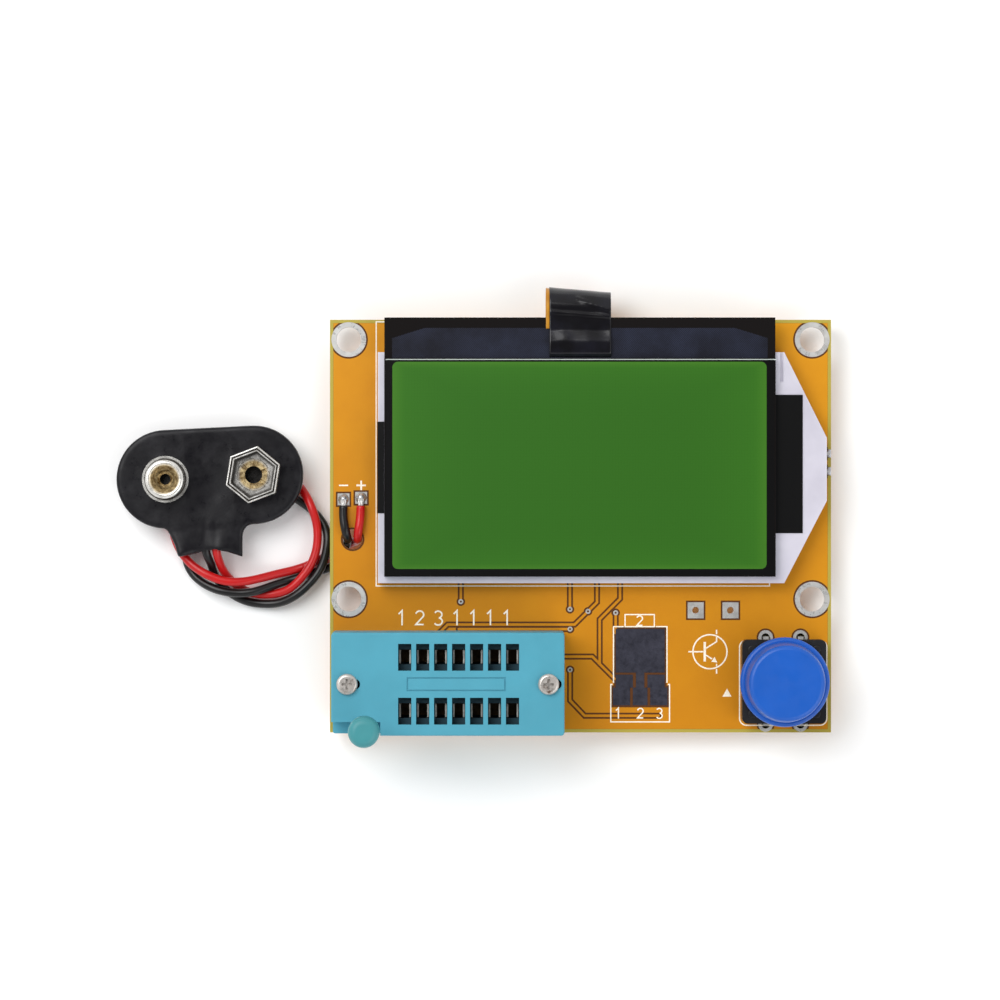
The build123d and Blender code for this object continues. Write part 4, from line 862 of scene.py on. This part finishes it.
# printed outlines round the larger parts underneath, each with a dot at its first pin
bm = bmesh.new()
for name, spare in (("microcontroller", 1.35), ("crystal_can", 0.45), ("voltage_regulator", 0.5)):
    low, high = (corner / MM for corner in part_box(name))
    if name == "voltage_regulator":
        low.y, high.y = low.y - 0.9, high.y + 0.9
    outline = rectangle(low.x - spare, high.x + spare, low.y - spare, high.y + spare)
    add_stroke(bm, outline, 0.16, UNDER_LOW, UNDER_HIGH, True)
    dot = arc(low.x - spare - 0.7, high.y + spare - 0.4, 0.3, 0.3, 0, 340, 17)
    add_slab(bm, dot, UNDER_LOW, UNDER_HIGH)
new_piece("legend_underside", bm, ink)


# ------------------------------------------------------------------ battery leads

RED_BOARD = [
    (-31.55, -5.3, 2.3),
    (-31.7, -7.4, 2.4),
    (-31.95, -9.2, 2.3),
    (-32.05, -10.0, 1.3),
    (-32.1, -10.1, 0.0),
    (-32.6, -10.4, -1.6),
    (-33.9, -10.9, -2.15),
    (-35.8, -11.95, -2.15),
]
BLACK_BOARD = [
    (-34.05, -5.3, 2.3),
    (-34.0, -7.4, 2.4),
    (-33.65, -9.2, 2.3),
    (-33.45, -10.0, 1.3),
    (-33.45, -10.1, 0.2),
    (-33.7, -10.8, -0.75),
    (-34.3, -12.2, -1.05),
    (-35.85, -14.0, -2.15),
]
RED_COIL = [
    (-38.0, -13.2, -2.15),
    (-40.6, -14.3, -2.15),
    (-43.4, -15.0, -1.6),
    (-46.6, -15.8, -0.6),
    (-49.6, -16.2, 0.0),
    (-52.2, -15.8, 0.1),
    (-54.4, -14.8, -0.05),
    (-56.3, -13.4, -0.6),
    (-57.7, -11.6, -1.0),
    (-58.6, -9.6, -1.9),
    (-58.9, -6.0, -2.15),
    (-57.7, -2.2, -2.15),
    (-54.8, 0.8, -2.15),
    (-50.5, 2.0, -2.15),
    (-46.0, 1.3, -2.15),
    (-42.4, -0.8, -2.15),
    (-40.4, -2.6, -1.9),
    (-38.9, -5.1, -0.8),
    (-38.1, -7.4, -0.7),
    (-37.9, -10.4, -0.7),
    (-38.6, -13.2, -0.7),
    (-40.2, -15.6, -0.75),
    (-42.1, -17.3, -1.1),
    (-44.6, -18.0, -1.9),
    (-47.0, -17.9, -2.15),
    (-49.0, -17.1, -2.15),
    (-50.5, -15.9, -1.9),
    (-51.4, -14.7, -1.2),
    (-51.95, -13.4, -0.2),
]
BLACK_COIL = [
    (-38.2, -14.8, -2.15),
    (-40.6, -15.6, -2.15),
    (-42.6, -16.2, -2.0),
    (-44.8, -16.9, -1.25),
    (-47.0, -17.6, -0.65),
    (-49.6, -17.8, -0.6),
    (-52.1, -17.4, -0.65),
    (-54.2, -16.5, -1.3),
    (-55.8, -15.2, -2.0),
    (-56.7, -13.6, -2.15),
    (-57.0, -11.6, -2.15),
    (-57.3, -9.0, -2.15),
    (-57.2, -6.2, -2.15),
    (-56.3, -3.5, -2.15),
    (-54.0, -1.0, -2.15),
    (-50.4, 0.2, -2.15),
    (-46.5, -0.5, -2.15),
    (-43.5, -2.5, -2.15),
    (-40.6, -4.5, -2.15),
    (-38.6, -6.0, -2.15),
    (-37.3, -7.5, -1.9),
    (-36.5, -9.4, -1.0),
    (-36.6, -11.6, -0.7),
    (-37.4, -14.2, -0.7),
    (-39.1, -16.5, -0.7),
    (-41.1, -18.2, -0.95),
    (-43.3, -19.2, -1.6),
    (-45.7, -19.4, -2.1),
    (-48.2, -19.0, -2.15),
    (-50.4, -17.9, -2.15),
    (-52.2, -16.2, -2.1),
    (-52.9, -14.8, -1.45),
    (-53.3, -13.4, -0.3),
]

def tail_point(u, v):
    """A point inside the snap's tail, along the snap's turned axes."""
    return (
        SNAP_X + u * cos(SNAP_TURN) - v * sin(SNAP_TURN),
        SNAP_Y + u * sin(SNAP_TURN) + v * cos(SNAP_TURN),
        0.75,
    )


LEAD_R = 0.62
# the leads move with the snap beyond the third of these, all along X
BEND_FROM, BEND_TO, RIGID_X = -35.2, -38.6, -39.6
for colour, board_part, coil_part, u, skin in (
    ("red", RED_BOARD, RED_COIL, 0.4, red_skin),
    ("black", BLACK_BOARD, BLACK_COIL, -1.1, black_skin),
):
    tail = [tail_point(u, v) for v in (-10.7, -9.0, -7.2)]
    whole = smooth_path(board_part + coil_part + tail)
    cut = next(i for i, q in enumerate(whole) if q.x < RIGID_X)
    bm = bmesh.new()
    add_tube(bm, whole[: cut + 1], LEAD_R)
    crossing = new_piece(colour + "_lead_crossing", bm, skin, None, True)
    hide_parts(colour + "_lead_board_end")
    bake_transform(crossing)
    bm = bmesh.new()
    add_tube(bm, whole[cut:], LEAD_R)
    coil = new_piece(colour + "_lead_coil", bm, skin, "battery_snap", True)
    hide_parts(colour + "_lead")

# bare strands, six round one, bent down into a blob of solder on each land
BLOBS = ((-34.06, -4.3), (-31.52, -4.1))
STRIPPED_ENDS = ((-34.05, -5.25, 2.3), (-31.55, -5.25, 2.3))
bm = bmesh.new()
for (x, y), tip in zip(BLOBS, STRIPPED_ENDS):
    for k in range(7):
        a = 2 * pi * k / 6
        r = 0.0 if k == 6 else 0.24
        start = Vector(tip) + Vector((r * cos(a), 0.02, r * sin(a)))
        end = Vector((x + r * 1.2 * cos(a), y + 0.25, 1.85 + 0.25 * r * sin(a)))
        middle = (start + end) / 2 + Vector((0.04 * cos(3 * a), 0.12, 0.12))
        add_tube(bm, smooth_path([start, middle, end], 0.12), 0.11, 8)
new_piece("bare_strands", bm, bright, "board", True)

profile = [(0, 1.66), (0.8, 1.66), (0.8, 1.69), (0.66, 1.78)]
profile += [(0.55, 1.95), (0.42, 2.15), (0.25, 2.28), (0, 2.33)]
bm = bmesh.new()
for i, (x, y) in enumerate(BLOBS):
    add_lathe(bm, profile, x, y, 28, 0.12, 3.1 * i)
blobs = new_piece("land_solder", bm, solder_metal, "board", True)
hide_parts("lead_solder_joints")

# ------------------------------------------------------------------ solder

SOCKET_PINS = [(SOCKET_X + SLOT_PITCH * n, y) for y in SLOT_ROWS for n in range(-3, 4)]
SWITCH_PINS = [(29.1 + dx, -30.4 + dy) for dx in (-2.5, 2.5) for dy in (-6.25, 6.25)]
LIGHT_LEADS = [(35.75, y) for y in (2.27, -0.27)]
BOARD_RIGHT = 36.0
FLEX_PITCH, FLEX_PADS = 0.7, 12

bm = bmesh.new()
profile = [(0, -0.06), (0.98, -0.06), (0.97, -0.09), (0.84, -0.2), (0.69, -0.42)]
profile += [(0.58, -0.74), (0.51, -1.06), (0.42, -1.15), (0.2, -1.19), (0, -1.2)]
for i, (x, y) in enumerate(SWITCH_PINS):
    add_lathe(bm, profile, x, y, 32, 0.1, 2.3 * i)
for i, (x, y) in enumerate(SOCKET_PINS):
    tip = -1.1 - 0.12 * sin(7.1 * i)
    profile = [(0, -0.06), (0.78, -0.06), (0.77, -0.09), (0.66, -0.22), (0.52, -0.45)]
    profile += [(0.42, tip * 0.68), (0.36, tip * 0.93), (0.28, tip)]
    profile += [(0.12, tip - 0.03), (0, tip - 0.035)]
    add_lathe(bm, profile, x, y, 28, 0.12, 1.7 * i)
# the backlight's leads lie in notches in the board's edge, so their solder is cut off flush
upper = [(0, 1.6), (0.62, 1.6), (0.6, 1.67), (0.48, 1.78), (0.33, 1.92), (0.2, 2.0), (0, 2.04)]
lower = [(0, 0.0), (0.62, 0.0), (0.6, -0.08), (0.47, -0.22), (0.34, -0.4), (0.2, -0.52)]
lower.append((0, -0.55))
for i, (x, y) in enumerate(LIGHT_LEADS):
    for profile in (upper, lower):
        add_lathe(bm, profile, x, y, 28, 0.1, 5.0 + i)
bmesh.ops.bisect_plane(
    bm,
    geom=bm.verts[:] + bm.edges[:] + bm.faces[:],
    plane_co=(BOARD_RIGHT, 0, 0),
    plane_no=(1, 0, 0),
    clear_outer=True,
)
bmesh.ops.holes_fill(bm, edges=[e for e in bm.edges if e.is_boundary], sides=0)
profile = [(0, -0.155), (0.19, -0.16), (0.185, -0.19), (0.14, -0.24), (0.07, -0.27), (0, -0.28)]
for i in range(FLEX_PADS):
    x = -0.4 + FLEX_PITCH * (i - (FLEX_PADS - 1) / 2)
    add_lathe(bm, profile, x, 14.9, 20, 0.1, 9.0 + i, 3.9)
joints = new_piece("solder_fillets", bm, solder_metal, "board", True)
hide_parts("solder_joints")


# ------------------------------------------------------------------ flex cable and its cover tape

FLEX_Z, FLEX_UNDER_Z, LOOP_Y = 5.30, -0.10, 23.25
LOOP_MID, LOOP_R = (FLEX_Z + FLEX_UNDER_Z) / 2, (FLEX_Z - FLEX_UNDER_Z) / 2


def loop_path(start, radius, turn, tail):
    """Points (y, z) that run over the ledge and round the loop, from top to underneath."""
    path = list(start)
    for i in range(29):
        a = pi / 2 - radians(turn) * i / 28
        path.append((LOOP_Y + radius * cos(a), LOOP_MID + radius * sin(a)))
    return path + list(tail)


def even_steps(path, step):
    """Splits the long legs of a path."""
    out = [path[0]]
    for (ay, az), (by, bz) in zip(path, path[1:]):
        count = max(1, int(hypot(by - ay, bz - az) / step))
        for k in range(1, count + 1):
            out.append((ay + (by - ay) * k / count, az + (bz - az) * k / count))
    return out


def near_line(x, y, a, b, width):
    """1 on the line a-b, falling off over the given width."""
    ax, ay = a
    dx, dy = b[0] - ax, b[1] - ay
    t = min(1, max(0, ((x - ax) * dx + (y - ay) * dy) / (dx * dx + dy * dy)))
    away = hypot(x - ax - t * dx, y - ay - t * dy)
    return max(0.0, 1 - away / width) ** 1.5


def skew(x, y):
    """The loop sits a little crooked: behind the display its right side is pulled in."""
    share = max(0.0, min(1.0, (y - 20.3) / 5.8))
    return y - 0.085 * (x + 4.6) * share


def bent_sheet(name, path, left, right, thick, material, lift):
    """A closed thin sheet that follows a path, lifted along its normal by a crease function."""
    path = even_steps(path, 0.22)
    columns = 44
    faces = []
    bm = bmesh.new()
    for side in (1, -1):
        grid = []
        for i, (y, z) in enumerate(path):
            before, after = path[max(0, i - 1)], path[min(len(path) - 1, i + 1)]
            way = hypot(after[0] - before[0], after[1] - before[1])
            ny, nz = -(after[1] - before[1]) / way, (after[0] - before[0]) / way
            row = []
            for k in range(columns + 1):
                x = left + (right - left) * k / columns
                sy = skew(x, y)
                out = thick / 2 * side + lift(x, sy, z)
                row.append(bm.verts.new((x, sy + ny * out, z + nz * out)))
            grid.append(row)
        faces.append(grid)
    upper, lower = faces
    rows = len(path)
    for i in range(rows - 1):
        for k in range(columns):
            bm.faces.new((upper[i][k], upper[i][k + 1], upper[i + 1][k + 1], upper[i + 1][k]))
            bm.faces.new((lower[i][k], lower[i + 1][k], lower[i + 1][k + 1], lower[i][k + 1]))
        for k in (0, columns):
            bm.faces.new((upper[i][k], upper[i + 1][k], lower[i + 1][k], lower[i][k]))
    for i in (0, rows - 1):
        for k in range(columns):
            bm.faces.new((upper[i][k], upper[i][k + 1], lower[i][k + 1], lower[i][k]))
    return new_piece(name, bm, material, "board", True)


def tape_lift(x, y, z):
    """A raised fold, a slanting crease and faint ripples; none over the glass."""
    glass_rear = 16.3
    if y < glass_rear:
        return 0.0
    ripple = 0.045 * (1 + noise.noise(Vector((x * 0.45, y * 0.6, z * 0.5))))
    top = max(0.0, min(1.0, (z - 3.2) / 1.2))
    fold = 0.16 * near_line(x, y, (-4.6, 22.5), (4.3, 21.8), 0.4)
    diagonal = 0.14 * near_line(x, y, (-0.6, 24.4), (4.3, 22.7), 0.45)
    return ripple * min(1, (y - glass_rear) / 1.5) + top * (fold + diagonal)


# the tape starts on the driver chip's ledge and lies on the cable round most of the loop
over_chip = [(16.05, 5.30), (16.6, 5.73), (18.3, 5.73), (19.9, 5.41)]
tape_path = loop_path(over_chip, 2.81, 140, [])
tape = bent_sheet("flex_tape_sheet", tape_path, -4.5, 4.3, 0.08, tape_black, tape_lift)
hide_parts("flex_cover_tape")

cable_path = loop_path([(20.1, FLEX_Z)], LOOP_R, 180, [(14.0, FLEX_UNDER_Z)])
cable = bent_sheet(
    "flex_cable_sheet", cable_path, -5.0, 4.2, 0.12, polyimide, lambda x, y, z: 0.0
)
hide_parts("flex_cable")

# the ground rear edge of the front glass catches the light: a pale strip on its top, a painted
# highlight
bm = bmesh.new()
add_slab(bm, rectangle(-27.9, 27.9, 15.58, 15.74), 5.981, 6.0)
new_piece("glass_rear_glint", bm, ground_edge_highlight, "board")


# ------------------------------------------------------------------ soft vinyl cover of the snap

# a copy of the moulding, remeshed finely and relaxed, then bent a little
source = nodes["snap_cover"]
mesh = source.data.copy()
mesh.transform(source.matrix_world)
rough_cover = bpy.data.objects.new("rough_cover", mesh)
scene.collection.objects.link(rough_cover)
remesh = rough_cover.modifiers.new("remesh", "REMESH")
remesh.mode = "VOXEL"
remesh.voxel_size = 0.00022
relax = rough_cover.modifiers.new("relax", "SMOOTH")
relax.factor = 0.5
relax.iterations = 9
evaluated = rough_cover.evaluated_get(bpy.context.evaluated_depsgraph_get())
skin = bpy.data.meshes.new_from_object(evaluated)
bpy.data.objects.remove(rough_cover)
for vert in skin.vertices:
    x, y, z = vert.co.x / MM, vert.co.y / MM, vert.co.z / MM
    u = (x - SNAP_X) * cos(SNAP_TURN) + (y - SNAP_Y) * sin(SNAP_TURN)
    v = -(x - SNAP_X) * sin(SNAP_TURN) + (y - SNAP_Y) * cos(SNAP_TURN)
    # the tail lifts in a slight wave, and the top sinks between the two contacts
    tail = max(0.0, min(1.0, (-7.6 - v) / 3.2))
    z += 0.22 * tail * sin(u * 1.1 + 0.6) + 0.12 * tail
    if z > 1.2:
        middle = max(0.0, 1 - (u / 3.4) ** 2) * max(0.0, 1 - (v / 6.6) ** 2)
        z -= 0.22 * middle
    ripple = 0.05 * noise.noise(Vector((x * 0.4, y * 0.4, z * 0.4)))
    vert.co = Vector((x, y, z + ripple)) * MM
skin.materials.clear()
skin.materials.append(vinyl_black)
skin.shade_smooth()
soft_cover = bpy.data.objects.new("snap_cover_skin", skin)
scene.collection.objects.link(soft_cover)
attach(soft_cover, "battery_snap")
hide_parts("snap_cover")

# ------------------------------------------------------------------ floor, light and camera


def area(name, where, side, power):
    """A square white lamp aimed at the middle of the object."""
    data = bpy.data.lights.new(name, "AREA")
    data.shape = "SQUARE"
    data.size = side
    data.energy = power
    lamp = bpy.data.objects.new(name, data)
    lamp.location = where
    aim = Vector((-0.01, -0.005, 0)) - Vector(where)
    lamp.rotation_euler = aim.to_track_quat("-Z", "Y").to_euler()
    scene.collection.objects.link(lamp)


def pale_floor():
    """Near-white; clear from underneath, and for light bounced close to the object's underside."""
    pale = Mat("pale_floor")
    tint = pale.ramp(pale.noise(8, 2), (0.3, srgb(250, 250, 250)), (0.7, srgb(255, 255, 255)))
    pale.set(Base_Color=tint, Roughness=0.9)
    facing = pale.nodes.new("ShaderNodeNewGeometry").outputs["Backfacing"]
    ray = pale.nodes.new("ShaderNodeLightPath").outputs
    close = pale.math("LESS_THAN", ray["Ray Length"], 0.004)
    bounced = pale.math("SUBTRACT", 1.0, ray["Is Camera Ray"])
    clear = pale.math("MAXIMUM", facing, pale.math("MULTIPLY", close, bounced))
    either = pale.nodes.new("ShaderNodeMixShader")
    pale.links.new(clear, either.inputs[0])
    pale.links.new(pale.bsdf.outputs[0], either.inputs[1])
    pale.links.new(pale.nodes.new("ShaderNodeBsdfTransparent").outputs[0], either.inputs[2])
    pale.links.new(either.outputs[0], pale.nodes["Material Output"].inputs["Surface"])
    return pale.mat


scene.view_settings.view_transform = "Standard"

FLOOR_HALF = 3
floor_z = cad_box[0][2] - 0.00002
corners = rectangle(-FLOOR_HALF, FLOOR_HALF, -FLOOR_HALF, FLOOR_HALF)
floor_mesh = bpy.data.meshes.new("floor")
floor_mesh.from_pydata([(x, y, floor_z) for x, y in corners], [], [(0, 1, 2, 3)])
floor = bpy.data.objects.new("floor", floor_mesh)
scene.collection.objects.link(floor)
floor_mesh.materials.append(pale_floor())

# a pale studio all round, with a darker patch straight overhead, so that glossy blacks stay black
world = bpy.data.worlds.new("studio")
world.use_nodes = True
tree = world.node_tree
direction = tree.nodes.new("ShaderNodeTexCoord").outputs["Generated"]
split = tree.nodes.new("ShaderNodeSeparateXYZ")
tree.links.new(direction, split.inputs[0])
overhead = tree.nodes.new("ShaderNodeMapRange")
for socket, value in (("From Min", 0.80), ("From Max", 0.965), ("To Min", 0.78), ("To Max", 0.10)):
    overhead.inputs[socket].default_value = value
tree.links.new(split.outputs[2], overhead.inputs["Value"])
tree.links.new(overhead.outputs[0], tree.nodes["Background"].inputs["Strength"])
tree.nodes["Background"].inputs["Color"].default_value = (1, 1, 1, 1)
scene.world = world

area("key", (-0.28, 0.25, 0.55), 0.45, 3.0)
area("fill", (0.35, -0.3, 0.45), 0.5, 1.2)

# straight down on the board's upper face, which the frame shows at a known width
DISTANCE, FRAME_WIDTH, BOARD_TOP = 0.7, 0.1437, 0.0016
camera_data = bpy.data.cameras.new("camera")
camera_data.sensor_width = 36
camera_data.lens = camera_data.sensor_width * DISTANCE / FRAME_WIDTH
camera_data.clip_start = 0.01
camera_data.clip_end = 10
camera = bpy.data.objects.new("camera", camera_data)
camera.location = (-0.01157, -0.0044, BOARD_TOP + DISTANCE)
scene.collection.objects.link(camera)
scene.camera = camera
